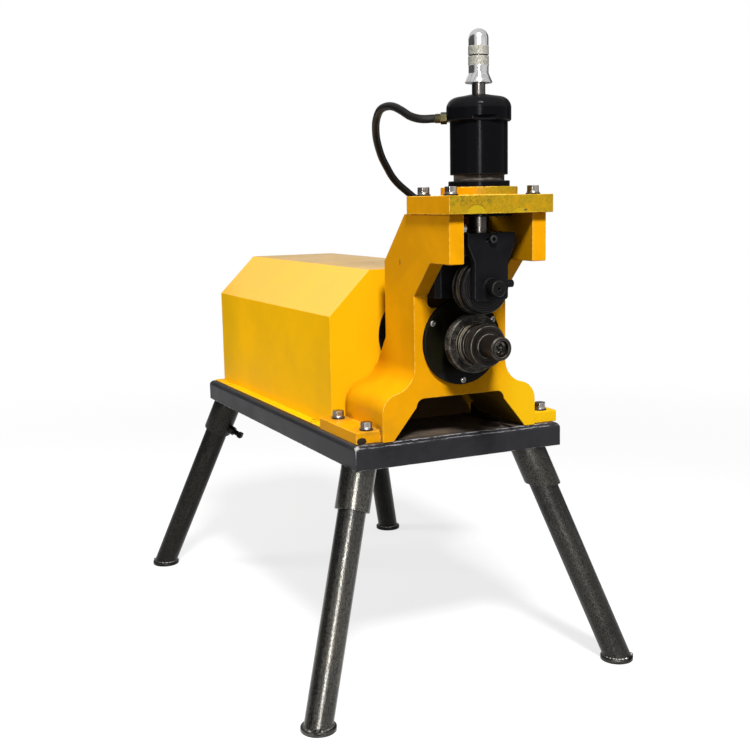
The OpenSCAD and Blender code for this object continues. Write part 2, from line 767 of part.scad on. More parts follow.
pin_end = plate_front + 23;
pin_back = head_front + cover_h + 5;
module roll_pin() {
    color(worn_steel) translate([0, 0, roll_z]) difference() {
        union() {
            bar_x(pin_back, pin_end - 1.5, pin_d);
            cone_x(pin_end - 1.5, pin_end, pin_d, pin_d - 3);
        }
        bar_x(pin_end - 8, pin_end + past, 4.5);
        translate([plate_middle, 0, pin_screw_z - roll_z]) bar_y(pin_screw_tip - 0.5, pin_d, pin_screw_d + 2 * seat);
    }
}

pin_screw_d = 8;
pin_screw_z = roll_z + 5;
pin_screw_tip = pin_d / 2 - 4;
module roll_pin_screw() {
    head_y = plate_neck / 2 + 0.2;
    head_h = 11.8;
    color(black_oxide) translate([plate_middle, 0, pin_screw_z]) {
        bar_y(pin_screw_tip, head_y + 1, pin_screw_d);
        difference() {
            bar_y(head_y, head_y + head_h, 12.5);
            translate([0, head_y + head_h - 4, 0]) rotate([-90, 0, 0]) cylinder(h = 4 + past, d = 6, $fn = 6);
        }
    }
}

// Upper roll: two flanges either side of the raised ring that presses the groove
bush_d = pin_d + 8;
module upper_roll() {
    body_d = upper_roll_d - 4;
    color(worn_steel) translate([0, 0, roll_z]) difference() {
        union() {
            bar_x(roll_back, roll_back + roll_l, body_d - 6);
            cone_x(roll_back, roll_back + 1.5, upper_roll_d - 3, upper_roll_d);
            bar_x(roll_back + 1.5, roll_back + 4, upper_roll_d);
            bar_x(roll_back + 4, roll_back + 12, body_d);
            bar_x(roll_back + 15, roll_back + 23, upper_roll_d);
            bar_x(roll_back + 26, roll_back + roll_l - 2, body_d);
            cone_x(roll_back + roll_l - 2, roll_back + roll_l, body_d, body_d - 4);
            bar_x(roll_back + roll_l - 1, roll_back + roll_l + 2, 57);
        }
        bar_x(roll_back - past, roll_back + roll_l + 2 + past, bush_d + 2 * fit);
    }
}

module upper_roll_bush() {
    color(brass_colour) translate([0, 0, roll_z]) difference() {
        bar_x(roll_back + 0.5, roll_back + roll_l + 1.5, bush_d);
        bar_x(roll_back - past, roll_back + roll_l + 2 + past, pin_d + 2 * fit);
    }
}

// Spindle, drive roll and their fastenings
roll_seat_x = head_front + 32;
seat_d = nose_d - 6.8;
seat_l = 71;
nose_x = roll_seat_x + 98;
roll_face = roll_seat_x + 58;
gear_x = 148;
gear_w = 30;
spindle_tail = gear_x - 14;
tail_d = 44;
draw_d = 16;
draw_l = 60;
key_w = 8;
key_l = 40;
key_h = 8;
module spindle() {
    color(worn_steel) translate([0, 0, spindle_z]) difference() {
        union() {
            bar_x(spindle_tail, rear_bearing_x + 1, tail_d);
            bar_x(rear_bearing_x, roll_seat_x, spindle_d);
            bar_x(roll_seat_x - past, roll_seat_x + seat_l, seat_d);
        }
        bar_x(roll_seat_x + seat_l - draw_l, roll_seat_x + seat_l + past, draw_d + 2 * fit);
        translate([0, 0, seat_d / 2 - key_h / 2])
            block([roll_seat_x + 8, -key_w / 2, 0], [roll_seat_x + 8 + key_l, key_w / 2, key_h]);
        translate([0, 0, tail_d / 2 - key_h / 2])
            block([gear_x - 1, -key_w / 2, 0], [gear_x + gear_w + 1, key_w / 2, key_h]);
    }
}

// A drive roll: stop flange, tread, groove, tread and nose
module drive_roll() {
    tread_1 = roll_seat_x + 16;
    groove_0 = tread_1 + 13;
    groove_1 = groove_0 + 17;
    color(worn_steel) translate([0, 0, spindle_z]) difference() {
        union() {
            bar_x(roll_seat_x, tread_1 - 2, stop_flange_d);
            cone_x(tread_1 - 2, tread_1, stop_flange_d, stop_flange_d - 3);
            bar_x(tread_1 - past, groove_0, tread_d);
            bar_x(groove_0 - past, groove_1 + past, tread_d - 2 * groove_deep);
            bar_x(groove_1, roll_face - 6, tread_d);
            cone_x(roll_face - 6, roll_face, tread_d, tread_d - 7);
            bar_x(roll_face - past, nose_x - 2, nose_d);
            cone_x(nose_x - 2, nose_x, nose_d, nose_d - 4);
        }
        bar_x(roll_seat_x - past, roll_seat_x + seat_l + 1, seat_d + 2 * fit);
        bar_x(roll_seat_x, nose_x, draw_d + 2 * seat);
        bar_x(roll_seat_x + seat_l + 9, nose_x + past, 27);
        translate([0, 0, seat_d / 2 - key_h / 2]) block(
            [roll_seat_x - past, -key_w / 2 - seat, 0], [roll_seat_x + 10 + key_l, key_w / 2 + seat, key_h + seat]);
    }
}

// One key drives the roll and the other takes the gear's turn
module drive_keys() {
    color(bright_steel) translate([0, 0, spindle_z - key_h / 2]) {
        block([roll_seat_x + 8, -key_w / 2, seat_d / 2], [roll_seat_x + 8 + key_l, key_w / 2, seat_d / 2 + key_h]);
        block([gear_x - 1, -key_w / 2, tail_d / 2], [gear_x + gear_w + 1, key_w / 2, tail_d / 2 + key_h]);
    }
}

module draw_bolt() {
    head_x = roll_seat_x + seat_l + 9;
    color(bright_steel) translate([0, 0, spindle_z]) difference() {
        union() {
            bar_x(head_x - draw_l, head_x, draw_d);
            bar_x(head_x, head_x + 12, 1.5 * draw_d);
        }
        translate([head_x + 5, 0, 0]) rotate([0, 90, 0]) cylinder(h = 8, d = draw_d, $fn = 6);
    }
}

// A bearing: outer and inner ring with rollers between
module bearing(x, w, outer, inner) {
    ring = (outer - inner) / 2 * 0.3;
    roller = (outer - inner) / 2 - 2 * ring + 0.4;
    pitch = (outer + inner) / 4;
    count = floor(2 * 180 / (2 * asin(roller / 2 / pitch) * 1.35));
    difference() {
        bar_x(x, x + w, outer);
        bar_x(x - past, x + w + past, outer - 2 * ring);
    }
    difference() {
        bar_x(x, x + w, inner + 2 * ring);
        bar_x(x - past, x + w + past, inner + 2 * fit);
    }
    for (i = [0:count - 1]) rotate([360 * i / count, 0, 0]) translate([0, pitch, 0])
        bar_x(x + 1.5, x + w - 1.5, roller);
}

module spindle_bearings() {
    color(bright_steel) translate([0, 0, spindle_z]) {
        bearing(front_bearing_x, bearing_w, bearing_d, spindle_d);
        bearing(rear_bearing_x, bearing_w, bearing_d, spindle_d);
    }
}

cover_screw_d = 6;
cover_screw_l = 12;
cover_screw_r = cover_d / 2 - 7.5;
cover_screw_turns = [30, 150, 270];
module bearing_cover() {
    color(black_oxide) translate([0, 0, spindle_z]) difference() {
        union() {
            bar_x(head_front, head_front + cover_h - 1.5, cover_d);
            cone_x(head_front + cover_h - 1.5, head_front + cover_h, cover_d, cover_d - 3);
            bar_x(front_bearing_x + bearing_w + 0.2, head_front + past, bearing_d - 0.4);
        }
        bar_x(front_bearing_x, head_front + cover_h + past, spindle_d + 1.2);
        for (a = cover_screw_turns) rotate([a, 0, 0]) translate([0, cover_screw_r, 0])
            bar_x(head_front - past, head_front + cover_h + past, cover_screw_d + 2 * seat);
    }
}

module bearing_cover_screws() {
    x = head_front + cover_h;
    color(bright_steel) translate([0, 0, spindle_z]) for (a = cover_screw_turns)
        rotate([a, 0, 0]) translate([0, cover_screw_r, 0]) difference() {
            union() {
                bar_x(head_front - cover_screw_l, x, cover_screw_d);
                bar_x(x, x + 1.5, 10.5);
                cone_x(x + 1.5, x + 3, 10.5, 7);
            }
            translate([x + 1, 0, 0]) rotate([0, 90, 0]) cylinder(h = 3, d = 4.6, $fn = 6);
        }
}

// Two-stage gearbox on the spindle's line
gear_module = 2;
wheel_teeth = 64;
pinion_teeth = 12;
shaft_drop = gear_module * (wheel_teeth + pinion_teeth) / 2;
case_wall = 10;
case_back = 56;
case_front = 200;
first_x = 84;
first_w = 20;
case_r = gear_module * wheel_teeth / 2 + 6 + case_wall;
counter_d = 20;
gearbox_bolt_d = 10;
gearbox_bolt_places = [for (x = [62, 194], y = [-94, 94]) [x, y]];
gearbox_foot_h = 12;
case_boss_x = hood_front - hood_wall - 3;

// Outline of a spur gear: straight-sided teeth, slimmer than their gaps
function gear_points(teeth) = let (pitch_r = gear_module * teeth / 2, step = 360 / teeth) [
    for (i = [0:teeth - 1], k = [
        [-0.26, -1.15], [-0.11, 0.85], [0.11, 0.85], [0.26, -1.15]
    ]) let (r = pitch_r + k.y * gear_module, a = (i + k.x) * step) [r * cos(a), r * sin(a)]
];

module gear_x_axis(x, w, teeth, turn) {
    translate([x, 0, 0]) rotate([90, 0, 90]) rotate([0, 0, turn]) linear_extrude(w) polygon(gear_points(teeth));
}

// Case outline around both shafts
module case_view(r) {
    for (z = [spindle_z, spindle_z - shaft_drop]) translate([0, z]) circle(r);
    translate([-r, spindle_z - shaft_drop]) square([2 * r, shaft_drop]);
}

module gearbox_case() {
    color(paint_dark) difference() {
        union() {
            outline_x(case_back, case_front) case_view(case_r);
            block([case_back - 8, -106, tray_top], [case_front + 8, 106, tray_top + gearbox_foot_h]);
            translate([0, 0, spindle_z]) bar_x(case_front - 1, case_boss_x, 100);
        }
        outline_x(case_back + case_wall, case_front - case_wall) case_view(case_r - case_wall);
        translate([0, 0, spindle_z]) {
            bar_x(case_front - case_wall - past, case_boss_x + past, tail_d + 8);
            bar_x(case_back - past, case_back + case_wall + past, 60);
        }
        translate([0, 0, spindle_z - shaft_drop]) {
            bar_x(case_back + 2, case_back + case_wall + past, 42 + 2 * seat);
            bar_x(case_front - case_wall - past, case_front - 2, 42 + 2 * seat);
        }
        for (p = gearbox_bolt_places) translate([p.x, p.y, tray_top - past])
            cylinder(h = gearbox_foot_h + 2 * past, d = gearbox_bolt_d + 2 * seat);
    }
}

module gearbox_bolts() {
    color(bright_steel) for (p = gearbox_bolt_places) translate([p.x, p.y, tray_top + gearbox_foot_h])
        hex_bolt(gearbox_bolt_d, gearbox_foot_h + tray_wall + 8);
}

module gearbox_bearings() {
    color(bright_steel) translate([0, 0, spindle_z - shaft_drop]) for (x = [case_back + 2, case_front - 12]) difference() {
        bar_x(x, x + 10, 42);
        bar_x(x - past, x + 10 + past, counter_d + 2 * fit);
    }
}

module output_gear() {
    color(worn_steel) translate([0, 0, spindle_z]) difference() {
        union() {
            gear_x_axis(gear_x, gear_w, wheel_teeth, 0);
            bar_x(gear_x - 6, gear_x + gear_w + 6, tail_d + 22);
        }
        bar_x(gear_x - 7, gear_x + gear_w + 7, tail_d + 2 * fit);
        translate([0, 0, tail_d / 2 - key_h / 2]) block(
            [gear_x - 7, -key_w / 2 - seat, 0], [gear_x + gear_w + 7, key_w / 2 + seat, key_h + seat]);
    }
}

// Each pinion is turned by half a tooth, which puts its gap over the wheel's tooth
module countershaft() {
    color(worn_steel) translate([0, 0, spindle_z - shaft_drop]) union() {
        bar_x(case_back + 2.5, case_front - 2.5, counter_d);
        gear_x_axis(first_x, first_w, wheel_teeth, 0);
        gear_x_axis(gear_x - 2, gear_w + 4, pinion_teeth, 180 / pinion_teeth);
        bar_x(first_x + first_w - 1, gear_x - 2, counter_d + 8);
    }
}

// Flange-mounted motor behind the gearbox
motor_front = case_back;
motor_back = -232;
motor_d = 172;
rotor_d = 96;
motor_shaft_d = 19;
module motor_body() {
    fin = 4;
    color(paint_dark) translate([0, 0, spindle_z]) difference() {
        union() {
            bar_x(motor_front - 12, motor_front, 158);
            bar_x(motor_back, motor_front - 11, motor_d - 16);
            for (a = [20:20:340]) rotate([a, 0, 0])
                block([motor_back + 14, -fin / 2, motor_d / 2 - 12], [motor_front - 26, fin / 2, motor_d / 2]);
            bar_x(motor_back, motor_back + 14, motor_d - 2);
        }
        bar_x(motor_back + 10, motor_front - 20, rotor_d + 1.4);
        bar_x(motor_back - past, motor_front + past, motor_shaft_d + 2 * fit);
        bar_x(motor_front - 6, motor_front + past, 40);
    }
}

module motor_rotor() {
    color(worn_steel) translate([0, 0, spindle_z]) union() {
        bar_x(motor_back + 24, motor_front - 34, rotor_d);
        bar_x(motor_back - 56, first_x, motor_shaft_d);
        gear_x_axis(first_x - 2, first_w + 4, pinion_teeth, 180 / pinion_teeth);
    }
}

fan_x = motor_back - 40;
fan_w = 26;
module motor_fan() {
    color(black_oxide) translate([0, 0, spindle_z]) difference() {
        union() {
            bar_x(fan_x, fan_x + fan_w, 44);
            bar_x(fan_x + fan_w - 4, fan_x + fan_w, 140);
            for (a = [0:45:315]) rotate([a, 0, 0]) block([fan_x, -1.5, 20], [fan_x + fan_w - 3, 1.5, 68]);
        }
        bar_x(fan_x - past, fan_x + fan_w + past, motor_shaft_d + 2 * fit);
    }
}

fan_cover_back = motor_back - 78;
module motor_fan_cover() {
    wall = 2;
    color(paint_dark) translate([0, 0, spindle_z]) difference() {
        bar_x(fan_cover_back, motor_back - 0.3, motor_d - 2);
        bar_x(fan_cover_back + wall, motor_back + past, motor_d - 2 - 2 * wall);
        for (ring = [28, 46, 64], a = [0:30:330]) rotate([a + ring, 0, 0]) translate([0, ring, 0])
            bar_x(fan_cover_back - past, fan_cover_back + wall + past, 10);
    }
}

module motor_terminal_box() {
    box_low = spindle_z + motor_d / 2 - 9;
    color(paint_dark) difference() {
        block([-60, -38, box_low], [30, 38, box_low + 32]);
        block([-56, -34, box_low + 4], [26, 34, box_low + 28]);
        translate([0, 0, spindle_z]) bar_x(-70, 40, motor_d + 0.4);
    }
}

// Hood: a bent sheet with bevelled shoulders, an open bottom and an outturned edge
hood_top = tray_top + hood_h;
hood_flange = 16;
hood_flange_t = 2.5;
hood_screw_d = 6;
hood_screw_places = [
    for (x = [hood_back + 66, hood_front - 63], side = [-1, 1]) [x, side * (hood_w / 2 + hood_flange / 2 + 1)]
];
module hood_view(inset) {
    half = hood_w / 2 - inset;
    top = hood_top - inset;
    shoulder = hood_bevel - inset * (2 - sqrt(2));
    low = inset > 0 ? tray_top - past : tray_top;
    polygon([
        [-half, low], [half, low], [half, top - shoulder], [half - shoulder, top],
        [-half + shoulder, top], [-half, top - shoulder]
    ]);
}

module hood() {
    back_flange = hood_back - hood_flange;
    color(paint_yellow) difference() {
        union() {
            outline_x(hood_back, hood_front) hood_view(0);
            block([back_flange, -hood_w / 2 - hood_flange, tray_top],
                [head_foot_back - 2, hood_w / 2 + hood_flange, tray_top + hood_flange_t]);
        }
        outline_x(hood_back + hood_wall, hood_front - hood_wall) hood_view(hood_wall);
        translate([0, 0, spindle_z - 4]) bar_x(hood_front - 2 * hood_wall, hood_front + past, hood_hole_d);
        // cut-outs over the head's two feet
        for (side = [0, 1]) mirror([0, side, 0]) block(
            [head_foot_back - 1, tunnel_foot - 20, tray_top - past], [hood_front + past, hood_w, foot_top + 0.3]);
        for (p = hood_screw_places) translate([p.x, p.y, tray_top - past])
            cylinder(h = hood_flange_t + 2 * past, d = hood_screw_d + 2 * seat);
        // louvres that let the motor's air in
        for (row = [0:5], side = [-1, 1]) translate([hood_back - past, side * 66, tray_top + 70 + row * 22])
            translate([0, -45, 0]) cube([hood_wall + 2 * past, 90, 6]);
    }
}

module hood_screws() {
    color(paint_yellow) for (p = hood_screw_places) translate([p.x, p.y, tray_top + hood_flange_t]) {
        translate([0, 0, -hood_flange_t - tray_wall - 4]) cylinder(h = hood_flange_t + tray_wall + 4, d = hood_screw_d);
        difference() {
            union() {
                cylinder(h = 2, d = 12);
                translate([0, 0, 2]) cylinder(h = 1.6, d1 = 12, d2 = 7);
            }
            for (a = [0, 90]) rotate([0, 0, a]) translate([-3, -0.5, 2]) cube([6, 1, 3]);
        }
    }
}

// Hand pump on a bracket at the tray's left side
pump_y = 256;
bracket_t = 6;
block_back = -24;
block_front = 40;
block_low = tray_top + bracket_t;
block_top = block_low + 82;
oil_z = block_low + 40;
oil_back = -236;
pivot_x = block_front - 14;
pivot_z = block_top + 26;
plunger_x = pivot_x - 27;
module pump_bracket() {
    y0 = tray_w / 2;
    x0 = oil_back + 6;
    color(paint_dark) union() {
        block([x0, y0, tray_bottom], [block_front, y0 + bracket_t, block_low]);
        block([x0, y0, tray_top], [block_front, pump_y + 36, block_low]);
        for (x = [x0, block_front - bracket_t]) outline_x(x, x + bracket_t) polygon([
            [y0, tray_bottom + 2], [y0 + bracket_t, tray_bottom + 2], [pump_y + 30, tray_top], [y0, tray_top]
        ]);
    }
}

module pump_body() {
    color("#7c1d1a") difference() {
        union() {
            block([block_back, pump_y - 42, block_low], [block_front, pump_y + 32, block_top]);
            translate([0, pump_y, oil_z]) bar_x(oil_back, block_back + 1, oil_tube_d);
            translate([0, pump_y, oil_z]) bar_x(oil_back - 8, oil_back + 6, oil_tube_d + 8);
            block([oil_back + 10, pump_y - 20, block_low], [oil_back + 30, pump_y + 20, oil_z]);
            block([pivot_x - 10, pump_y - 9, block_top - 1], [pivot_x + 10, pump_y + 9, pivot_z]);
            translate([pivot_x, 0, pivot_z]) bar_y(pump_y - 9, pump_y + 9, 20);
            translate([plunger_x, pump_y, block_top - 1]) cylinder(h = 7, d = 24);
        }
        translate([plunger_x, pump_y, block_low + 12]) cylinder(h = block_top, d = plunger_d + 2 * fit);
        translate([pivot_x, 0, pivot_z]) bar_y(pump_y - 20, pump_y + 20, pivot_d + 2 * fit);
        translate([0, release_y, release_z]) bar_x(block_front - 22, block_front + past, release_d + 2 * fit);
        translate([outlet_x, outlet_y, block_top - 14]) cylinder(h = 16, d = outlet_d + 2 * seat);
        translate([0, pump_y, oil_z]) bar_x(oil_back + 6, block_back - 4, oil_tube_d - 7);
    }
}

plunger_d = 16;
cheek_in = 11.5;
cheek_out = 15.5;
module pump_plunger() {
    color(bright_steel) translate([plunger_x, pump_y, 0]) {
        translate([0, 0, block_low + 34]) cylinder(h = pivot_z + 7 - block_low - 34, d = plunger_d);
        translate([0, 0, pivot_z]) bar_y(-cheek_out + past, cheek_out - past, 6);
    }
}

pivot_d = 10;
lever_d = 22;
lever_l = 330;
module pump_lever() {
    color(black_oxide) translate([0, pump_y, pivot_z]) difference() {
        union() {
            for (side = [-1, 1]) translate([0, side > 0 ? cheek_in : -cheek_out, 0])
                block([plunger_x - 34, 0, -11], [pivot_x + 11, cheek_out - cheek_in, 11]);
            block([plunger_x - 34, -cheek_out, -11], [plunger_x - 22, cheek_out, 11]);
            bar_x(plunger_x - 22 - lever_l, plunger_x - 30, lever_d);
            translate([pivot_x, 0, 0]) bar_y(-cheek_out - 4, cheek_out + 4, pivot_d);
        }
        for (side = [-1, 1]) translate([plunger_x, 0, 0])
            block([-10, side > 0 ? cheek_in - past : -cheek_out - past, -5.5],
                [6, side > 0 ? cheek_out + past : -cheek_in + past, 5.5]);
    }
}

release_d = 12;
release_y = pump_y + 14;
release_z = block_low + 30;
module release_knob() {
    color(black_oxide) translate([0, release_y, release_z]) {
        bar_x(block_front - 20, block_front + 8, release_d);
        translate([block_front + 6, 0, 0]) rotate([0, 90, 0]) knurl(26, 15, 20);
    }
}

// Hose: a fitting in the cylinder's cap, a fitting on the pump and the hose between them
outlet_x = -8;
outlet_y = pump_y - 28;
outlet_d = 13;
fitting_flats = 17;
fitting_hex_l = 10;
fitting_l = 20;
fitting_d = 15;
module fitting(stub) {
    color(brass_colour) {
        translate([0, 0, -stub]) cylinder(h = stub + 1, d = outlet_d);
        hex(fitting_flats, fitting_hex_l);
        cylinder(h = fitting_l - 2, d = fitting_d);
        translate([0, 0, fitting_l - 2]) cylinder(h = 2, d1 = fitting_d, d2 = hose_d);
    }
}

module at_port() {
    translate([cylinder_x, 0, port_z]) rotate([0, 90, port_turn]) translate([0, 0, cap_d / 2 - port_seat]) children();
}

module hose_fittings() {
    at_port() fitting(0);
    translate([outlet_x, outlet_y, block_top]) fitting(12);
}

// Points of the hose from the cylinder's fitting to the pump's
hose_start_r = cap_d / 2 - port_seat + fitting_l;
hose_points = [
    [cylinder_x + hose_start_r * cos(port_turn), hose_start_r * sin(port_turn), port_z],
    [404, -76, 977], [390, -88, 982], [374, -96, 992], [353, -100, 1000], [331, -102, 1002],
    [309, -102, 999], [287, -97, 992], [267, -91, 981], [249, -83, 969], [233, -74, 955],
    [219, -63, 939], [207, -51, 923], [197, -37, 907], [189, -23, 891], [183, -7, 877],
    [178, 12, 864], [175, 34, 849], [172, 59, 835], [168, 86, 821], [160, 113, 806],
    [148, 139, 787], [132, 163, 765], [115, 183, 740], [95, 200, 715], [73, 213, 689],
    [50, 222, 663], [28, 227, 637], [10, 228, 610], [-4, 228, 583],
    [outlet_x, outlet_y, block_top + fitting_l]
];
hose_sides = 8;
// A direction that the hose never takes, from which its rings are turned
hose_ring_ref = [0.8, -0.45, 0.4];
function unit(v) = v / norm(v);

module hydraulic_hose() {
    path = hose_points;
    last = len(path) - 1;
    out_of_cap = [cos(port_turn), sin(port_turn), 0];
    into_pump = [0, 0, -1];
    tangent = [for (i = [0:last])
        i == 0 ? out_of_cap : i == last ? into_pump : unit(path[i + 1] - path[i - 1])];
    points = [
        for (i = [0:last])
            let (side = unit(cross(tangent[i], hose_ring_ref)), over = cross(tangent[i], side))
                for (k = [0:hose_sides - 1]) let (a = 360 * k / hose_sides)
                    path[i] + hose_d / 2 * (cos(a) * side + sin(a) * over)
    ];
    color("#1a1a1a") polyhedron(points, tube_faces(last, hose_sides), convexity = 6);
}

base_tray();
leg_socket(true, false);  // leg_socket_front_right
leg_socket(true, true);  // leg_socket_front_left
leg_socket(false, false);  // leg_socket_rear_right
leg_socket(false, true);  // leg_socket_rear_left
leg(true, false);  // leg_front_right
leg(true, true);  // leg_front_left
leg(false, false);  // leg_rear_right
leg(false, true);  // leg_rear_left
leg_clamp_bolt(true, false);  // leg_clamp_bolt_front_right
leg_clamp_bolt(true, true);  // leg_clamp_bolt_front_left
leg_clamp_bolt(false, false);  // leg_clamp_bolt_rear_right
leg_clamp_bolt(false, true);  // leg_clamp_bolt_rear_left
head_casting();
head_bolts();
arm_bolt();
top_plate();
top_plate_bolts();
cylinder_ring_nut();
cylinder_barrel();
cylinder_cap();
piston();
return_spring();
ram_rod();
depth_rod();
depth_nut();
lock_cap();
slider_block();
slider_front_plate();
slider_fasteners();
roll_pin();
roll_pin_screw();
upper_roll();
upper_roll_bush();
spindle();
drive_roll();
drive_keys();
draw_bolt();
spindle_bearings();
bearing_cover();
bearing_cover_screws();
gearbox_case();
gearbox_bolts();
gearbox_bearings();
output_gear();
countershaft();
motor_body();
motor_rotor();
motor_fan();
motor_fan_cover();
motor_terminal_box();
hood();
hood_screws();
pump_bracket();
pump_body();
pump_plunger();
pump_lever();
release_knob();
hose_fittings();
hydraulic_hose();
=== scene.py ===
"""Pipe roll groover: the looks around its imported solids.

X runs forwards to the rolls, Y to the machine's left and Z up, with the origin on the floor. The scene is in
metres. Shapes are worked out in millimetres, and finishes read their places in metres.
"""
import json
from functools import reduce

import bmesh
import bpy
import numpy as np
from bpy.props import FloatProperty, FloatVectorProperty, PointerProperty
from mathutils import Matrix, Vector


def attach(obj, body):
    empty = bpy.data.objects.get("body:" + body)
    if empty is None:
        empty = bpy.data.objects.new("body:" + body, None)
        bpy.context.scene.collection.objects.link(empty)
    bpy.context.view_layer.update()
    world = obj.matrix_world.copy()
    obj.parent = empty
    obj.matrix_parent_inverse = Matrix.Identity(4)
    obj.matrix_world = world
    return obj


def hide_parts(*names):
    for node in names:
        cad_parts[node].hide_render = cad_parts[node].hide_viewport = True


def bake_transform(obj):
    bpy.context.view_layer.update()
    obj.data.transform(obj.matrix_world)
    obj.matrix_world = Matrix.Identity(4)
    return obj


bl_info = {
    "name": "Pipe roll groover",
    "version": (1, 0, 0),
    "blender": (4, 5, 0),
    "location": "3D View > Sidebar > Roll groover",
    "description": "Builds a pipe roll groover and its studio stage around the packed solids",
    "category": "Add Mesh",
}

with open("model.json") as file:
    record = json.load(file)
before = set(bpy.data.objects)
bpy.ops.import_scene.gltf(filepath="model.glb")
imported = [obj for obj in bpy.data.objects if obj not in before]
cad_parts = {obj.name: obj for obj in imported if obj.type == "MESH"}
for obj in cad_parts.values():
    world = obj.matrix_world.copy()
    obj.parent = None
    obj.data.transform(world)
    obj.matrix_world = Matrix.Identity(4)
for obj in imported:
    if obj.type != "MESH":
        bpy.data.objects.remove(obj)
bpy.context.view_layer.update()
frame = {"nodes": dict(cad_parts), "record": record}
SLOT_OF = {part["node"]: part["material_slot"] for part in frame["record"]["subparts"]}
BODY_OF = {node: body for body, nodes in frame["record"]["behaviour"]["bodies"].items() for node in nodes}
MM = 0.001
TURN = 2 * np.pi
WHITE = (1.0, 1.0, 1.0, 1.0)

# Main places, in millimetres
CYLINDER_X = 457.0
CYLINDER_AXIS = (CYLINDER_X, 0, 0)
CAP_LOW = 970.0
PLATE_FRONT = 528.5
SPINDLE_Z = 610.0
ROLL_Z = 706.0
FOOT_TOP = 468.0
TRAY_TOP = 448.0
TRAY_LOW = 406.0
FOOT_H = 8.0
HOOD_FRONT = 241.0
HOOD_HOLE_Z = 606.0

# Bolts through the head's feet
FOOT_BOLTS = ((254, -169), (370, -169), (254, 179), (370, 179))

# Bearing cover: its face, and the ring and turns in degrees of its screws
COVER_FRONT = 404.0
COVER_SCREWS_R = 67.5
COVER_SCREWS_AT = (30, 150, 270)

# Clamp screw of the slider's front plate: its head's end and its height
SCREW_FRONT = 503.5
SCREW_Z = 784.0

# Middles of each leg's pipe on its foot disc and under the tray
LEG_ENDS = {
    "front_right": ((453.0, -304.0), (356.0, -177.0)),
    "front_left": ((453.0, 296.0), (356.0, 158.0)),
    "rear_right": ((-496.0, -300.0), (-356.0, -172.0)),
    "rear_left": ((-496.0, 292.0), (-356.0, 172.0)),
}
LEG_R = 24.15
LEG_BORE_R = 20.95

# How far the sides of the tunnel under the head lean in for each step up
TUNNEL_LEAN = 0.662

# Oil on the tray: middles and half widths
POOL = (((258, 114), (32, 32)), ((307, 107), (32, 13)), ((353, 83), (26, 18)), ((377, 103), (24, 6)))

# Middle line of the hose, from the cylinder's fitting to the pump's
HOSE_ROUTE = [
    (416.3, -58.2, 977), (404, -76, 977), (390, -88, 982), (374, -96, 992), (353, -100, 1000),
    (331, -102, 1002), (309, -102, 999), (287, -97, 992), (267, -91, 981), (249, -83, 969), (233, -74, 955),
    (219, -63, 939), (207, -51, 923), (197, -37, 907), (189, -23, 891), (183, -7, 877), (178, 12, 864),
    (175, 34, 849), (172, 59, 835), (168, 86, 821), (160, 113, 806), (148, 139, 787), (132, 163, 765),
    (115, 183, 740), (95, 200, 715), (73, 213, 689), (50, 222, 663), (28, 227, 637), (10, 228, 610),
    (-4, 228, 583), (-8, 228, 556),
]

# The camera solved from the photo: place in metres, turns (yaw, pitch and roll) in degrees, lens in mm
CAMERA_PLACE = (2.0192, -0.9390, 0.8517)
CAMERA_TURNS = (-25.54, 9.07, -1.06)
LENS, SENSOR = 53.093, 36.0


# Shapes
def circle(sides):
    """Even steps once round, from 0."""
    return np.linspace(0, TURN, sides, endpoint=False)


def wrapped(angle, period=TURN):
    """The same angle, whole periods away, within half a period of 0."""
    return (angle + period / 2) % period - period / 2


def hexagon(angle, half_flats):
    """Radius of a hexagon: half its width across the flats / cos of the turn from the nearest flat."""
    return half_flats / np.cos(wrapped(angle, TURN / 6))


def arc(radius, place, size, end=TURN / 4, steps=14):
    """Points (radius + size cos a, place + size sin a) for a from 0 to the end."""
    sweep = np.linspace(0, end, steps)
    return np.stack([radius + size * np.cos(sweep), place + size * np.sin(sweep)], 1)


def arc_corners(corners, closed=True):
    """Rounds the corners of a line of (across, along, rounding).

    Each corner becomes an arc of its rounding: the arc's centre lies on the bisector of the two edges, its
    ends where it touches them, and its points turn evenly about the centre from one end to the other.
    """
    steps = 5
    corners = np.array(corners, float)
    p, r = corners[:, :2], corners[:, 2]
    before, after = np.roll(p, 1, 0) - p, np.roll(p, -1, 0) - p
    if not closed:
        r[[0, -1]] = 0
        before[0], after[-1] = -after[0], -before[-1]
    len_a, len_b = np.linalg.norm(before, axis=1), np.linalg.norm(after, axis=1)
    a, b = before / len_a[:, None], after / len_b[:, None]
    half = np.arccos(np.clip((a * b).sum(1), -1, 1)) / 2
    straight = half > np.pi / 2 - 1e-4
    half = np.where(straight, np.pi / 4, half)
    reach = np.minimum(r / np.tan(half), 0.49 * np.minimum(len_a, len_b))
    r = reach * np.tan(half)
    middle = a + b
    middle /= np.maximum(np.linalg.norm(middle, axis=1), 1e-9)[:, None]
    centre = p + middle * (r / np.sin(half))[:, None]
    one, two = p + a * reach[:, None] - centre, p + b * reach[:, None] - centre
    start = np.arctan2(one[:, 1], one[:, 0])
    turn = wrapped(np.arctan2(two[:, 1], two[:, 0]) - start)
    angles = start[:, None] + turn[:, None] * np.linspace(0, 1, steps)
    arcs = centre[:, None] + r[:, None, None] * np.stack([np.cos(angles), np.sin(angles)], -1)
    flat = straight | (r < 1e-6)
    return np.concatenate([p[i][None] if flat[i] else arcs[i] for i in range(len(p))])


def grid_faces(rows, columns, wrap_rows=False):
    """Four-cornered faces between neighbouring rows of a grid whose columns close on themselves."""
    i = np.arange(rows if wrap_rows else rows - 1)[:, None]
    j = np.arange(columns)[None]
    down, right = (i + 1) % rows, (j + 1) % columns
    corners = (i * columns + j, i * columns + right, down * columns + right, down * columns + j)
    return np.stack(corners, -1).reshape(-1, 4)


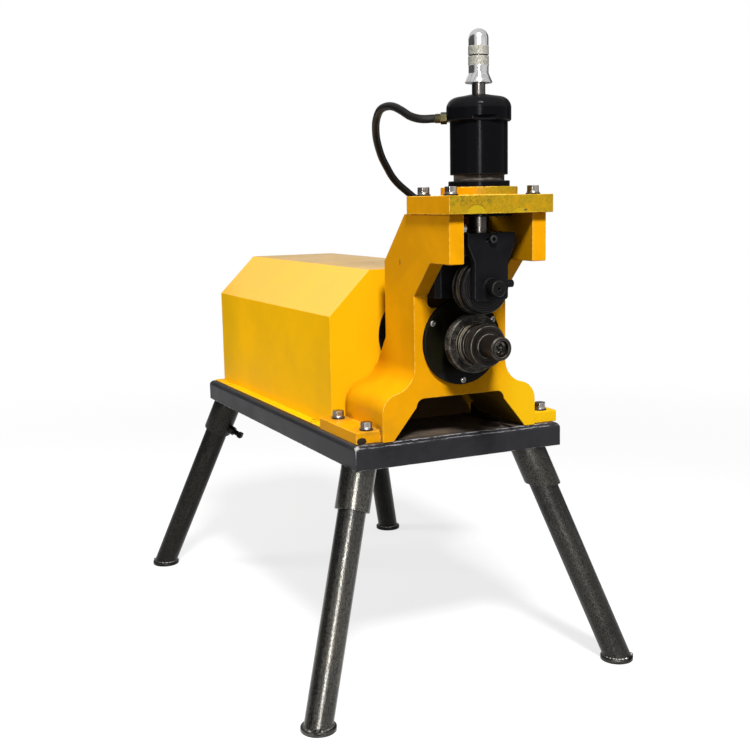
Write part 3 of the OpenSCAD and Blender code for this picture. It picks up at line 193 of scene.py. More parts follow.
def placed(name, data):
    """Puts mesh, lamp or camera data into the scene as an object at the origin."""
    made = bpy.data.objects.new(name, data)
    bpy.context.scene.collection.objects.link(made)
    return made


def piece(name, points, faces, like, material=None, smooth=35.0, replaces=(), attributes=None, across=None):
    """Puts arrays of points, in millimetres, and faces into a mesh that rides with the solid it is like."""
    mesh = bpy.data.meshes.new(name)
    mesh.from_pydata((np.asarray(points, float) * MM).tolist(), [], [list(f) for f in faces])
    for key, values in (attributes or {}).items():
        values = np.asarray(values, np.float32)
        kind, field = ("FLOAT", "value") if values.ndim == 1 else ("FLOAT_VECTOR", "vector")
        mesh.attributes.new(key, kind, "POINT").data.foreach_set(field, values.ravel())
    shape = bmesh.new()
    shape.from_mesh(mesh)
    bmesh.ops.remove_doubles(shape, verts=shape.verts, dist=1e-6)
    bmesh.ops.recalc_face_normals(shape, faces=shape.faces)
    shape.to_mesh(mesh)
    shape.free()
    mesh.shade_smooth()
    mesh.set_sharp_from_angle(angle=np.radians(smooth))
    return settle(name, mesh, like, material, replaces, across)


def settle(name, mesh, like, material=None, replaces=(), across=None):
    """Gives a finished mesh its finish and lets it ride with the solid it is like.

    A piece with across stretches instead from its own body to another, between two places in metres.
    """
    made = placed(name, mesh)
    slot = SLOT_OF[like]
    mesh.materials.clear()
    mesh.materials.append(material or FINISHES[slot])
    if across:
        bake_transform(made)
    else:
        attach(made, BODY_OF[like])
    if replaces:
        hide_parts(*replaces)
    return made


def turned(name, profile, centre, axis, like, sides=96, form=None, replaces=None):
    """A turned solid: its closed profile (radius, place along the axis) is carried round the axis.

    Point (i, j) = centre + axis * place(i) + radius(i, j) * (u cos a(j) + v sin a(j)), where form may change
    the radius by place and angle. The edge attribute is 1 where the profile turns by 0.35 radians or more,
    and 0 at 1 mm from there along its straight parts over 3 mm, which get two points more for that.
    """
    profile = np.asarray(profile, float)
    before, after = profile - np.roll(profile, 1, 0), np.roll(profile, -1, 0) - profile
    cross = before[:, 0] * after[:, 1] - before[:, 1] * after[:, 0]
    bend = np.abs(np.arctan2(cross, (before * after).sum(1)))
    sharp_bend, long_side = 0.35, 3.0
    edge = np.stack([np.clip(bend / sharp_bend, 0, 1), 0 * bend, 0 * bend], 1)
    length = np.linalg.norm(after, axis=1)
    share = np.stack([0 * length, 1.0 / length, 1 - 1.0 / length], 1)
    kept = np.stack([length > 0, length > long_side, length > long_side], 1)
    profile, edge = (profile[:, None] + after[:, None] * share[..., None])[kept], edge[kept]
    angle = circle(sides)
    radius = np.repeat(profile[:, :1], sides, 1)
    place = np.repeat(profile[:, 1:], sides, 1)
    if form is not None:
        radius = form(radius, place, np.repeat(angle[None], len(profile), 0))
    across = radius[..., None] * np.stack([np.cos(angle), np.sin(angle)], -1)[None]
    along = place[..., None]
    points = np.concatenate([along, across] if axis == "X" else [across, along], -1).reshape(-1, 3)
    return piece(name, points + np.asarray(centre, float), grid_faces(len(profile), sides, True), like,
                 replaces=(like,) if replaces is None else replaces,
                 attributes={"edge": np.repeat(edge, sides)})


def spline_through(points, steps):
    """Catmull-Rom: between two points, a cubic whose end slopes are half the chords of its neighbours."""
    p = np.vstack([2 * points[0] - points[1], points, 2 * points[-1] - points[-2]])
    a, b, c, d = (v[:, None] for v in (p[:-3], p[1:-2], p[2:-1], p[3:]))
    t = np.linspace(0, 1, steps, endpoint=False)[None, :, None]
    square, cube = 2 * a - 5 * b + 4 * c - d, 3 * b - a - 3 * c + d
    curve = 0.5 * (2 * b + (c - a) * t + square * t ** 2 + cube * t ** 3)
    return np.vstack([curve.reshape(-1, 3), points[-1:]])


def swept(line, radius, sides):
    """A closed rod: a ring across each place of a line, turned from one fixed direction, and two end faces.

    Point (i, j) = line(i) + radius * (side(i) cos a(j) + over(i) sin a(j)).
    """
    slope = np.gradient(line, axis=0)
    slope /= np.linalg.norm(slope, axis=1)[:, None]
    side = np.cross(slope, (0.8, -0.45, 0.4))
    side /= np.linalg.norm(side, axis=1)[:, None]
    over = np.cross(slope, side)
    angle = circle(sides)[None, :, None]
    points = line[:, None] + radius * (np.cos(angle) * side[:, None] + np.sin(angle) * over[:, None])
    last = (len(line) - 1) * sides
    ends = [list(range(sides - 1, -1, -1)), list(range(last, last + sides))]
    return points.reshape(-1, 3), list(grid_faces(len(line), sides)) + ends


def dressed(node, name, width):
    """A merged copy of a solid's mesh, whose sharp edges get a round bevel of a width in millimetres."""
    mesh = frame["nodes"][node].data.copy()
    mesh.name = name
    while mesh.uv_layers:
        mesh.uv_layers.remove(mesh.uv_layers[0])
    shape = bmesh.new()
    shape.from_mesh(mesh)
    bmesh.ops.remove_doubles(shape, verts=shape.verts, dist=2e-6)
    bmesh.ops.dissolve_limit(shape, angle_limit=np.radians(0.6), verts=shape.verts, edges=shape.edges)
    bmesh.ops.dissolve_degenerate(shape, dist=1e-6, edges=shape.edges)
    shape.to_mesh(mesh)
    shape.free()
    mesh.materials.clear()
    mesh.materials.append(None)
    mesh.materials.append(None)
    mesh.shade_smooth()
    made = placed(name, mesh)
    bevel = made.modifiers.new("rounded edges", "BEVEL")
    bevel.width, bevel.segments, bevel.material = width * MM, 2, 1
    bevel.limit_method, bevel.angle_limit = "ANGLE", np.radians(32.0)
    bevel.miter_outer, bevel.use_clamp_overlap = "MITER_SHARP", False
    flat = made.modifiers.new("flat faces stay flat", "WEIGHTED_NORMAL")
    flat.weight, flat.keep_sharp = 90, True
    done = bpy.data.meshes.new_from_object(made.evaluated_get(bpy.context.evaluated_depsgraph_get()))
    bpy.data.objects.remove(made)
    edge = np.zeros(len(done.polygons), np.int32)
    done.polygons.foreach_get("material_index", edge)
    done.attributes.new("edge", "FLOAT", "FACE").data.foreach_set("value", (edge == 1).astype(np.float32))
    done.polygons.foreach_set("material_index", np.zeros(len(edge), np.int32))
    done.name = name
    return settle(name, done, node, replaces=(node,))


# Finishes
class Wiring:
    """A short way to put, set and link shader nodes."""

    def __init__(self, owner):
        owner.use_nodes = True
        self.tree = owner.node_tree
        self.tree.nodes.clear()

    def put(self, kind, **settings):
        node = self.tree.nodes.new(kind)
        for key, value in settings.items():
            setattr(node, key, value)
        return node

    def feed(self, socket, value):
        if isinstance(value, bpy.types.NodeSocket):
            self.tree.links.new(value, socket)
        else:
            socket.default_value = value

    def wired(self, kind, output, inputs, **settings):
        """Puts a node, feeds its inputs by name or number and gives one of its outputs."""
        node = self.put(kind, **settings)
        for key, value in inputs.items():
            self.feed(node.inputs[key], value)
        return node.outputs[output]

    def math(self, how, a, b=0.0):
        return self.wired("ShaderNodeMath", 0, {0: a, 1: b}, operation=how)

    def both(self, *masks):
        """The product of masks and shares."""
        return reduce(lambda a, b: self.math("MULTIPLY", a, b), masks)

    def either(self, *masks):
        """The largest of the masks."""
        return reduce(lambda a, b: self.math("MAXIMUM", a, b), masks)

    def seen(self):
        """1 for rays straight from the camera, or from a mirroring or clear surface."""
        path = self.put("ShaderNodeLightPath").outputs
        return self.either(path["Is Camera Ray"], path["Is Glossy Ray"], path["Is Transmission Ray"])


class Finish(Wiring):
    """One finish: a base colour with tints over it. Places are in metres on Object coordinates."""

    def __init__(self, name, rough, metallic=0.0, specular=0.5):
        self.material = bpy.data.materials.new(name)
        super().__init__(self.material)
        self.shader = self.put("ShaderNodeBsdfPrincipled")
        self.feed(self.put("ShaderNodeOutputMaterial").inputs["Surface"], self.shader.outputs[0])
        self.set("Roughness", rough)
        self.set("Metallic", metallic)
        self.set("Specular IOR Level", specular)
        self.metallic, self.matt, self.base = metallic, None, None
        where = self.put("ShaderNodeTexCoord")
        self.place, self.normal = where.outputs["Object"], where.outputs["Normal"]

    def set(self, socket, value):
        self.feed(self.shader.inputs[socket], value)

    def glow(self, strength):
        """White light from the surface itself."""
        self.set("Emission Color", WHITE)
        self.set("Emission Strength", strength)

    def band(self, value, low, high, out_low=0.0, out_high=1.0):
        """A smooth step of a value, from out_low at low to out_high at high."""
        levels = {"Value": value, "From Min": low, "From Max": high, "To Min": out_low, "To Max": out_high}
        return self.wired("ShaderNodeMapRange", 0, levels, interpolation_type="SMOOTHSTEP")

    def between(self, value, start, full, fade, end):
        """A mask that rises from start to full and falls from fade to end."""
        return self.both(self.band(value, start, full), self.band(value, end, fade))

    def mix(self, share, a, b, how="MIX"):
        a, b = (c if isinstance(c, bpy.types.NodeSocket) else (*c, 1.0) for c in (a, b))
        inputs = {0: share, 6: a, 7: b}
        return self.wired("ShaderNodeMix", 2, inputs, data_type="RGBA", blend_type=how, clamp_factor=True)

    def tint(self, colour, *masks):
        """Lays a colour over the base where all masks are 1, or thinly by the shares among them."""
        self.base = self.mix(self.both(*masks), self.base, colour)

    def shade(self, colour, share=1.0):
        """Multiplies the base by a colour."""
        self.base = self.mix(share, self.base, colour, "MULTIPLY")

    def stretched(self, stretch, source=None):
        return self.wired("ShaderNodeMapping", 0, {"Vector": source or self.place, "Scale": stretch})

    def noise(self, scale, detail=3.0, rough=0.55, stretch=None, warp=0.0, source=None):
        source = self.stretched(stretch, source) if stretch else source or self.place
        inputs = {"Vector": source, "Scale": scale, "Detail": detail, "Roughness": rough, "Distortion": warp}
        return self.wired("ShaderNodeTexNoise", "Fac", inputs)

    def ripple(self, size, scale, detail=3.0, rough=0.55):
        """Noise about 0, as a raggedness to add to a place."""
        return self.both(self.math("SUBTRACT", self.noise(scale, detail, rough), 0.5), size)

    def parts(self, vector):
        node = self.put("ShaderNodeSeparateXYZ")
        self.feed(node.inputs[0], vector)
        return node.outputs

    def distance(self, a, b):
        """Length of the diagonal over two sides."""
        return self.math("SQRT", self.math("ADD", self.both(a, a), self.both(b, b)))

    def near(self, centre, reach, ragged=0.25, scale=90.0, soft=0.25):
        """1 inside an ellipsoid about a place in millimetres, 0 outside, with a ragged border."""
        vector = self.place
        for how, given in (("SUBTRACT", centre), ("DIVIDE", reach)):
            inputs = {0: vector, 1: [c * MM for c in given]}
            vector = self.wired("ShaderNodeVectorMath", 0, inputs, operation=how)
        length = self.wired("ShaderNodeVectorMath", "Value", {0: vector}, operation="LENGTH")
        away = self.math("ADD", length, self.ripple(ragged * 4, scale, 4.0))
        return self.band(away, 1.0 + soft, 1.0 - soft)

    def attribute(self, name, output="Fac"):
        return self.put("ShaderNodeAttribute", attribute_name=name).outputs[output]

    def bump(self, height, depth, under=None):
        """Depth is the height of a full step, in millimetres, and under is another bump to lie on."""
        inputs = {"Strength": 1.0, "Distance": depth * MM, "Height": height}
        if under is not None:
            inputs["Normal"] = under
        return self.wired("ShaderNodeBump", 0, inputs)

    def finish(self, rough=None, skin=None):
        """Links the base and the skin. Where the matt mask is 1 the finish is dull and hardly metallic."""
        self.set("Base Color", self.base)
        if self.matt is not None:
            rough = self.either(rough, self.both(self.matt, 0.6))
            share = self.math("SUBTRACT", 1.0, self.both(self.matt, 0.75))
            self.set("Metallic", self.both(share, self.metallic))
        if rough is not None:
            self.set("Roughness", rough)
        if skin is not None:
            self.set("Normal", skin)
        return self.material


def scaled(colour, share):
    return tuple(min(1.0, c * share) for c in colour)


def tunnel_reach(f, y, z):
    """How far a place is from the middle plane, as if the tunnel's leaning sides stood upright."""
    rise = f.math("SUBTRACT", z, TRAY_TOP * MM)
    return f.math("ADD", f.math("ABSOLUTE", y), f.both(rise, TUNNEL_LEAN))


def yellow(name, colour, peel=0.05, peel_scale=260.0, rough=0.34, cloud=0.10, marks=None, edge_wear_and_highlight=0.3,
           chips=0.62, streaks=0.16, shine=0.025):
    """Machine enamel: slow clouds of tone, an orange-peel skin, grime in specks, chipped edges, and pale
    edges that are partly worn paint and partly a painted highlight.
    """
    f = Finish(name, rough, specular=shine)
    tone = f.noise(7.0, 4.0, 0.6, warp=0.4)
    f.base = f.mix(f.band(tone, 0.35, 0.68), scaled(colour, 1.0 - cloud), scaled(colour, 1.0 + cloud * 0.5))
    streak = f.band(f.noise(3.2, 6.0, 0.72, stretch=(1.0, 1.0, 0.45), warp=1.2), 0.56, 0.78)
    f.tint((colour[0] * 0.62, colour[1] * 0.52, 0.012), streak, streaks)
    speckle = f.band(f.noise(420.0, 2.0, 0.6), 0.70, 0.80)
    f.tint((0.16, 0.09, 0.02), speckle, 0.22)
    edge = f.attribute("edge")
    # Pale edges: partly worn paint, partly a painted highlight along the rounded edges.
    pale = f.band(f.noise(140.0, 3.0), 0.35, 0.6)
    f.tint((0.98, 0.66, 0.14), edge, pale, edge_wear_and_highlight)
    chipped = f.band(f.noise(95.0, 5.0, 0.7), chips, chips + 0.03)
    f.tint((0.10, 0.055, 0.03), edge, chipped, 0.8)
    if marks:
        marks(f)
    skin = f.bump(f.noise(22.0, 1.0, 0.5), peel * 2.0, f.bump(f.noise(peel_scale, 2.0, 0.5), peel))
    return f.finish(f.band(tone, 0.3, 0.75, rough - 0.06, rough + 0.08), skin)


def cast_marks(f):
    """Grime round bolts, painted shade in the tunnel, in the slide channel and on faces turned to -Y, a rusty
    scratch and a chip on the right foot.
    """
    for x, y in FOOT_BOLTS:
        grime = f.near((x, y, FOOT_TOP + 2), (26, 22, 10), 0.3, 120.0, 0.5)
        f.tint((0.24, 0.13, 0.03), grime, 0.40)
    scratch = f.near((347, -90, 745), (2.2, 6, 5), 0.5, 300.0)
    f.tint((0.19, 0.06, 0.03), scratch, 0.85)
    chip = f.near((388, -186, 453), (4, 9, 6.5), 0.12, 200.0, 0.08)
    f.tint((0.030, 0.022, 0.016), chip)
    x, y, z = f.parts(f.place)
    # Painted shade in the tunnel under the head: navy towards -Y, dark olive-brown towards +Y.
    within = f.both(f.band(tunnel_reach(f, y, z), 0.1335, 0.1330), f.band(z, 0.5175, 0.5170))
    tunnel = f.both(f.band(x, 0.3948, 0.3940), within)
    f.tint(f.mix(f.band(y, -0.02, 0.09), (0.010, 0.013, 0.026), (0.13, 0.082, 0.012)), tunnel, 0.93)
    lemon = f.both(f.band(y, 0.03, 0.13), f.band(z, 0.60, 0.52), f.math("SUBTRACT", 1.0, tunnel))
    f.tint((0.88, 0.51, 0.006), lemon, 0.9)
    # Painted shade in the slide channel beside the slider.
    beside = f.band(f.math("ABSOLUTE", y), 0.0640, 0.0634)
    channel = f.both(f.band(x, 0.3955, 0.3940), f.band(z, 0.66, 0.67), beside)
    f.tint((0.05, 0.022, 0.006), channel, 0.85)
    # Painted shade: faces turned to -Y are darker, and the arm's inner face at +Y darker still.
    flank = f.band(f.parts(f.normal)[1], -0.7, -0.95)
    f.tint((0.42, 0.19, 0.0), flank, 0.16)
    f.tint((0.24, 0.12, 0.0), flank, f.band(y, 0.04, 0.05), 0.4)
    soot = f.both(f.band(z, 0.56, TRAY_TOP * MM), f.band(f.noise(14.0, 5.0, 0.65), 0.45, 0.75))
    f.tint((0.30, 0.17, 0.03), soot, 0.22)


def plate_marks(f):
    """An olive film of oil and grit, thinner in two round patches low on the front, and a pale lower front
    edge that is partly worn paint and partly a painted highlight.
    """
    _, y, z = f.parts(f.place)
    forward, _, upward = f.parts(f.normal)
    front = f.band(forward, 0.75, 0.95)
    grit = f.band(f.noise(230.0, 5.0, 0.75), 0.38, 0.66)
    film = f.both(front, f.band(f.noise(34.0, 4.0, 0.6), 0.20, 0.60, 0.55, 1.0))
    round_pad = f.both(f.band(z, 0.855, 0.856), f.band(y, -0.012, 0.004))
    f.tint((0.36, 0.25, 0.010), f.either(film, round_pad), 0.85)
    heavy = f.both(f.band(y, 0.02, -0.06), f.band(z, 0.826, 0.850))
    f.tint((0.11, 0.080, 0.012), film, grit, f.math("ADD", 0.42, f.both(heavy, 0.4)))
    for side, height, reach, ragged, share in (
            (-47, 825, (9, 17, 13.5), 0.05, 0.8), (34, 826, (9, 15, 7), 0.2, 0.6)):
        middle, wider = (PLATE_FRONT, side, height), [r * 1.10 for r in reach]
        inside = f.near(middle, reach, ragged, 60.0, 0.06)
        rim = f.math("SUBTRACT", f.near(middle, wider, ragged, 60.0, 0.05), inside)
        f.tint((0.11, 0.075, 0.006), rim, f.band(z, 0.831, 0.835), front, 0.7)
        f.tint((0.47, 0.33, 0.010), inside, front, share)
    chip = f.near((PLATE_FRONT, 43, 830), (9, 4.0, 1.7), 0.5, 200.0)
    f.tint((0.10, 0.06, 0.03), chip, 0.9)
    # Pale lower front edge: partly worn paint, partly a painted highlight.
    worn = f.both(f.band(z, 0.8272, 0.8258), f.band(f.noise(90.0, 4.0, 0.7), 0.40, 0.55))
    f.tint((0.80, 0.52, 0.06), worn, front, 0.7)
    f.tint((0.30, 0.22, 0.05), f.band(upward, 0.8, 0.98), grit, 0.18)


def sheet_marks(f):
    """Dust on the flat top, specks, a painted sheen on the slopes, and painted shade on the front faces, at
    the rear and on the sheet behind the tunnel.
    """
    x, y, z = f.parts(f.place)
    forward, _, upward = f.parts(f.normal)
    # Painted reflection: the sloping faces are paler.
    slope = f.both(f.band(upward, 0.2, 0.4), f.band(upward, 0.90, 0.80))
    f.tint((0.74, 0.44, 0.14), slope, 0.5)
    # Painted shade: faces that look forward are a darker orange.
    f.tint((0.70, 0.35, 0.004), f.band(forward, 0.7, 0.9), 0.5)
    top = f.both(f.band(upward, 0.90, 0.99), f.band(z, 0.60, 0.62))
    dust = f.band(f.noise(16.0, 6.0, 0.7), 0.22, 0.62, 0.66, 0.95)
    f.tint((0.46, 0.31, 0.13), top, dust)
    blot = f.band(f.noise(22.0, 5.0, 0.7, warp=0.8), 0.64, 0.72)
    f.tint((0.33, 0.21, 0.08), top, blot, 0.5)
    cells = f.wired("ShaderNodeTexVoronoi", "Distance", {"Vector": f.place, "Scale": 6.0})
    f.tint((0.20, 0.12, 0.03), f.band(cells, 0.012, 0.008), 0.7)
    # Painted shade: darker olive over the rear end of the right side.
    rear_shade = f.near((-400, -176, 560), (110, 20, 190), 0.15, 8.0, 0.6)
    f.tint((0.52, 0.31, 0.0), rear_shade, 0.42)
    # Painted shade on the hood's front sheet behind the tunnel.
    behind = f.both(f.band(x, 0.2300, 0.2360), f.band(tunnel_reach(f, y, z), 0.118, 0.110))
    f.tint((0.085, 0.056, 0.036), behind, f.band(z, 0.514, 0.508), 0.93)


def dark_paint(name, colour, rough, marks=None, peel=0.05):
    """Dark enamel: faint clouds, pale flecks and scratches, and edges worn down to bright steel."""
    f = Finish(name, rough, specular=0.08)
    cloud = f.noise(9.0, 5.0, 0.65, warp=0.5)
    f.base = f.mix(f.band(cloud, 0.3, 0.7), scaled(colour, 0.72), scaled(colour, 1.25))
    flecks = f.band(f.noise(180.0, 3.0, 0.6), 0.72, 0.78)
    f.tint((0.16, 0.155, 0.15), flecks, 0.25)
    worn = f.band(f.noise(60.0, 4.0, 0.65), 0.42, 0.60)
    f.tint((0.42, 0.42, 0.43), f.attribute("edge"), worn, 0.9)
    if marks:
        marks(f)
    return f.finish(f.band(cloud, 0.25, 0.75, rough - 0.08, rough + 0.1), f.bump(f.noise(330.0, 2.0), peel))


def tray_marks(f):
    """Brown dust on the top, paler under the head as painted light, a black oil pool, bright lines along the
    rolled front rim that are partly worn steel and partly painted highlights, and a painted highlight on a
    front corner.
    """
    x, _, z = f.parts(f.place)
    # Dust on the top. It is paler under the head than in front of it, as painted light.
    top = f.both(f.band(z, 0.4460, 0.4477), f.band(x, 0.20, 0.26))
    dust = f.band(f.noise(20.0, 5.0, 0.6), 0.3, 0.7, 0.35, 1.0)
    f.tint(f.mix(f.band(x, 0.39, 0.37), (0.075, 0.056, 0.042), (0.15, 0.11, 0.075)), top, dust, 0.8)
    wet = [f.near((*middle, TRAY_TOP), (*reach, 10), 0.10, 50.0, 0.05) for middle, reach in POOL]
    f.tint((0.004, 0.003, 0.003), f.either(*wet), 0.97)
    # Bright lines along the rolled front rim: partly worn steel, partly painted highlights.
    height = f.math("ADD", z, f.ripple(0.0042, 55.0, 4.0, 0.7))
    upper = f.between(height, 0.4466, 0.4472, 0.4476, 0.4480)
    lower = f.between(height, 0.4422, 0.4430, 0.4436, 0.4442)
    rim = f.both(f.either(upper, f.both(lower, 0.6)), f.band(x, 0.3895, 0.3925))
    patchy = f.band(f.noise(70.0, 3.0, 0.7, stretch=(1.0, 0.4, 1.0)), 0.36, 0.56)
    f.tint((0.40, 0.40, 0.42), rim, patchy, 0.85)
    # Painted highlight on the tray's front corner at -Y.
    corner = f.near((397, -200, 445), (5, 5, 4), 0.45, 260.0)
    f.tint((0.50, 0.48, 0.45), corner, 0.8)


def leg_metal(name):
    """Gunmetal enamel over drawn pipe: a hammered skin, faint streaks along the tube and dark pits.

    The rear and left legs, and the sockets with them, are darker and duller. Their darker colour is painted
    shade.
    """
    f = Finish(name, 0.38, metallic=0.9, specular=0.2)
    along = f.attribute("along", "Vector")

    def tube_noise(scale, detail, rough, stretch):
        return f.noise(scale, detail, rough, stretch=(1.0, 1.0, stretch), source=along)

    streaks = tube_noise(95.0, 5.0, 0.7, 0.10)
    patches = tube_noise(9.0, 4.0, 0.6, 0.5)
    pits = f.band(tube_noise(300.0, 3.0, 0.65, 0.6), 0.60, 0.72)
    hammer = tube_noise(560.0, 1.0, 0.5, 0.7)
    f.base = f.mix(f.band(patches, 0.3, 0.7), (0.036, 0.036, 0.037), (0.060, 0.059, 0.056))
    f.tint((0.13, 0.125, 0.115), f.band(streaks, 0.52, 0.70), 0.35)
    f.tint((0.008, 0.008, 0.008), pits, 0.7)
    # Painted shade: each drain slot's opening is a near black mark on the foot disc.
    for (x, y), _ in LEG_ENDS.values():
        out = (LEG_R + 0.35) / np.hypot(x, 0.6 * y)
        drain_slot = f.near((x + x * out, y + 0.6 * y * out, FOOT_H), (9, 9, 4.5), 0.1, 300.0, 0.1)
        f.tint((0.004, 0.004, 0.004), drain_slot, 0.95)
    f.shade(f.mix(f.band(hammer, 0.36, 0.62), (0.66, 0.66, 0.69), (1.85, 1.75, 1.52)))
    x, y, _ = f.parts(f.place)
    # Painted shade: the rear legs and the legs at +Y are darker.
    rear, left = f.band(x, 0.05, -0.05), f.band(y, -0.05, 0.05)
    f.shade((0.54, 0.54, 0.55), left)
    f.shade((0.30, 0.30, 0.30), rear)
    rough = f.math("ADD", f.band(streaks, 0.35, 0.7, 0.29, 0.22), f.both(f.either(rear, left), 0.14))
    return f.finish(rough, f.bump(hammer, 0.20, f.bump(patches, 0.25)))


def gloss_black(name):
    """Black gloss enamel with vertical wipe marks, dust, scuffs and grease on the spindle's round cover."""
    f = Finish(name, 0.10, specular=0.018)
    f.base = (0.0035, 0.0035, 0.0045)
    dust = f.band(f.noise(260.0, 3.0, 0.7), 0.62, 0.78)
    f.tint((0.12, 0.11, 0.10), dust, 0.036)
    f.tint((0.16, 0.145, 0.13), f.attribute("edge"), 0.10)
    z = f.parts(f.place)[2]
    neck = f.between(z, 0.8768, 0.8778, 0.8852, 0.8862)
    scuffs = f.band(f.noise(50.0, 4.0, 0.6, stretch=(1.0, 1.0, 4.0)), 0.3, 0.62, 0.35, 1.0)
    f.tint((0.17, 0.145, 0.12), neck, scuffs, 0.8)
    cover = f.near((COVER_FRONT, 0, SPINDLE_Z), (14, 90, 90), 0.0)
    grease = f.mix(f.band(z, 0.560, 0.555), (0.013, 0.0115, 0.003), (0.022, 0.022, 0.021))
    f.tint(grease, cover, f.band(f.noise(16.0, 3.0), 0.3, 0.6, 0.3, 1.0), 0.8)
    wipe = f.noise(60.0, 5.0, 0.7, stretch=(1.0, 1.0, 0.12))
    return f.finish(f.band(wipe, 0.3, 0.75, 0.06, 0.26), f.bump(f.noise(40.0, 2.0), 0.08))


def steel(name, colour, rough, grain=(40.0, 1.0, 1.0), dirt=(0.03, 0.025, 0.02), cover=0.4,
          edge=(0.6, 0.58, 0.54), edge_share=0.5, marks=None, pits=0.03, metallic=1.0, specular=0.15):
    """Bare or oxidised steel: tool marks in one direction, an uneven dirty film and edges rubbed brighter."""
    f = Finish(name, rough, metallic=metallic, specular=specular)
    tool = f.noise(28.0, 4.0, 0.65, stretch=grain)
    film = f.noise(42.0, 5.0, 0.68, warp=0.7)
    f.base = f.mix(f.band(tool, 0.35, 0.68), scaled(colour, 0.72), scaled(colour, 1.3))
    f.tint(dirt, f.band(film, 0.45, 0.72), cover)
    f.tint(edge, f.attribute("edge"), f.band(f.noise(75.0, 3.0), 0.30, 0.6), edge_share)
    if marks:
        marks(f)
    skin = f.bump(f.noise(300.0, 2.0), pits, f.bump(tool, 0.04))
    return f.finish(f.band(film, 0.3, 0.75, rough - 0.08, rough + 0.2), skin)


def plain(name, colour, rough, scale=160.0, depth=0.05, share=0.2):
    """A moulded or rubber skin: a fine grain in tone and height, and slow changes in roughness."""
    f = Finish(name, rough, specular=0.12)
    grain = f.noise(scale, 4.0, 0.6)
    f.base = f.mix(f.band(grain, 0.3, 0.7), scaled(colour, 1 - share), scaled(colour, 1 + share))
    return f.finish(f.band(f.noise(8.0, 3.0), 0.3, 0.7, rough - 0.05, rough + 0.08), f.bump(grain, depth))


def washer_marks(f):
    """Oily black washers under the hexagon heads, a darker draw bolt and painted shade in the cover screws'
    sockets.
    """
    z = f.parts(f.place)[2]
    on_feet = f.between(z, 0.4676, 0.4680, 0.4704, 0.4708)
    on_plate = f.between(z, 0.8536, 0.8540, 0.8564, 0.8568)
    f.matt = f.either(on_feet, on_plate)
    f.tint((0.012, 0.010, 0.009), f.matt, 0.95)
    draw_bolt = f.near((520, 0, SPINDLE_Z), (60, 18, 18), 0.0)
    f.tint((0.018, 0.015, 0.012), draw_bolt, f.band(f.noise(120.0, 4.0), 0.62, 0.46, 0.35, 1.0))
    # Painted shade inside the hexagon sockets of the cover screws.
    for turn in np.radians(COVER_SCREWS_AT):
        place = (COVER_FRONT, COVER_SCREWS_R * np.cos(turn), SPINDLE_Z + COVER_SCREWS_R * np.sin(turn))
        socket = f.math("SUBTRACT", f.near(place, (12, 3.6, 3.6), 0.0), f.near(place, (12, 1.2, 1.2), 0.0))
        f.tint((0.020, 0.019, 0.018), socket, 0.7)


def knurl_marks(f):
    """Two matt bands with yellowish grit in their knurls, and dark oil where the nut meets the cap."""
    z = f.parts(f.place)[2]
    nut = f.between(z, 1.0570, 1.0576, 1.0714, 1.0720)
    cap = f.between(z, 1.0734, 1.0740, 1.0870, 1.0876)
    f.matt = f.either(nut, cap)
    grit = f.band(f.noise(420.0, 4.0, 0.7), 0.30, 0.66)
    f.tint(f.mix(grit, (0.13, 0.125, 0.10), (0.40, 0.385, 0.33)), f.matt, 0.95)
    f.tint((0.008, 0.007, 0.006), f.between(z, 1.0714, 1.0718, 1.0734, 1.0738), 0.95)


def oxide_marks(f):
    """Black oil on the slider's front round the roll pin, and a painted highlight on the clamp screw head's
    edges.
    """
    oily = f.near((500, 0, ROLL_Z), (6, 25, 25), 0.06)
    f.tint((0.0025, 0.0025, 0.0025), oily, 0.8)
    # Painted highlight: the clamp screw head's edges are paler.
    head = f.near((SCREW_FRONT, 0, SCREW_Z), (3.0, 7.5, 7.5), 0.0)
    f.tint((0.07, 0.068, 0.065), head, f.attribute("edge"), 0.3)


def roll_marks(f):
    """Burnished gold-brown bands where pipe has run, dark oil between, and turned lines on the faces painted
    as thin highlights.
    """
    x, y, z = f.parts(f.place)
    x = f.math("ADD", x, f.ripple(0.0008, 30.0))
    upper = f.band(z, 0.655, 0.665)
    lower = f.math("SUBTRACT", 1.0, upper)

    def ring(low, high, soft=0.0004):
        return f.between(x, low - soft, low + soft, high - soft, high + soft)

    f.tint((0.005, 0.005, 0.006), upper, 0.85)
    streak = f.band(f.noise(90.0, 4.0, 0.6), 0.25, 0.7, 0.35, 1.0)
    for roll, low, high, colour, share in (
        (upper, 0.4607, 0.4624, (0.50, 0.41, 0.26), 0.95),
        (upper, 0.4640, 0.4662, (0.22, 0.16, 0.08), 0.5),
        (lower, 0.4500, 0.4530, (0.52, 0.44, 0.31), 0.9),
        (lower, 0.4540, 0.4562, (0.30, 0.24, 0.15), 0.5),
        (lower, 0.4640, 0.4665, (0.20, 0.17, 0.11), 0.5),
        (lower, 0.4675, 0.4700, (0.34, 0.27, 0.16), 0.6),
    ):
        f.tint(colour, ring(low, high), roll, streak, share)
    speck = f.both(f.band(f.noise(520.0, 3.0, 0.8), 0.44, 0.64), f.band(f.noise(60.0, 3.0), 0.35, 0.65))
    f.tint((0.32, 0.30, 0.27), ring(0.4270, 0.4446), lower, speck, 0.7)
    # Turned lines on the faces, painted as thin pale rings of highlight.
    facing = f.band(f.parts(f.normal)[0], 0.9, 0.98)
    for roll, middle, radii in (
            (upper, ROLL_Z, (0.0326, 0.0364, 0.0398)), (lower, SPINDLE_Z, (0.0235, 0.0300))):
        radius = f.distance(y, f.math("SUBTRACT", z, middle * MM))
        for place in radii:
            line = f.band(f.math("ABSOLUTE", f.math("SUBTRACT", radius, place)), 0.0006, 0.0002)
            f.tint((0.14, 0.13, 0.115), line, roll, facing, 0.3)
    drum = f.band(radius, 0.0185, 0.0200)
    f.tint((0.006, 0.005, 0.004), lower, facing, drum, 0.5)


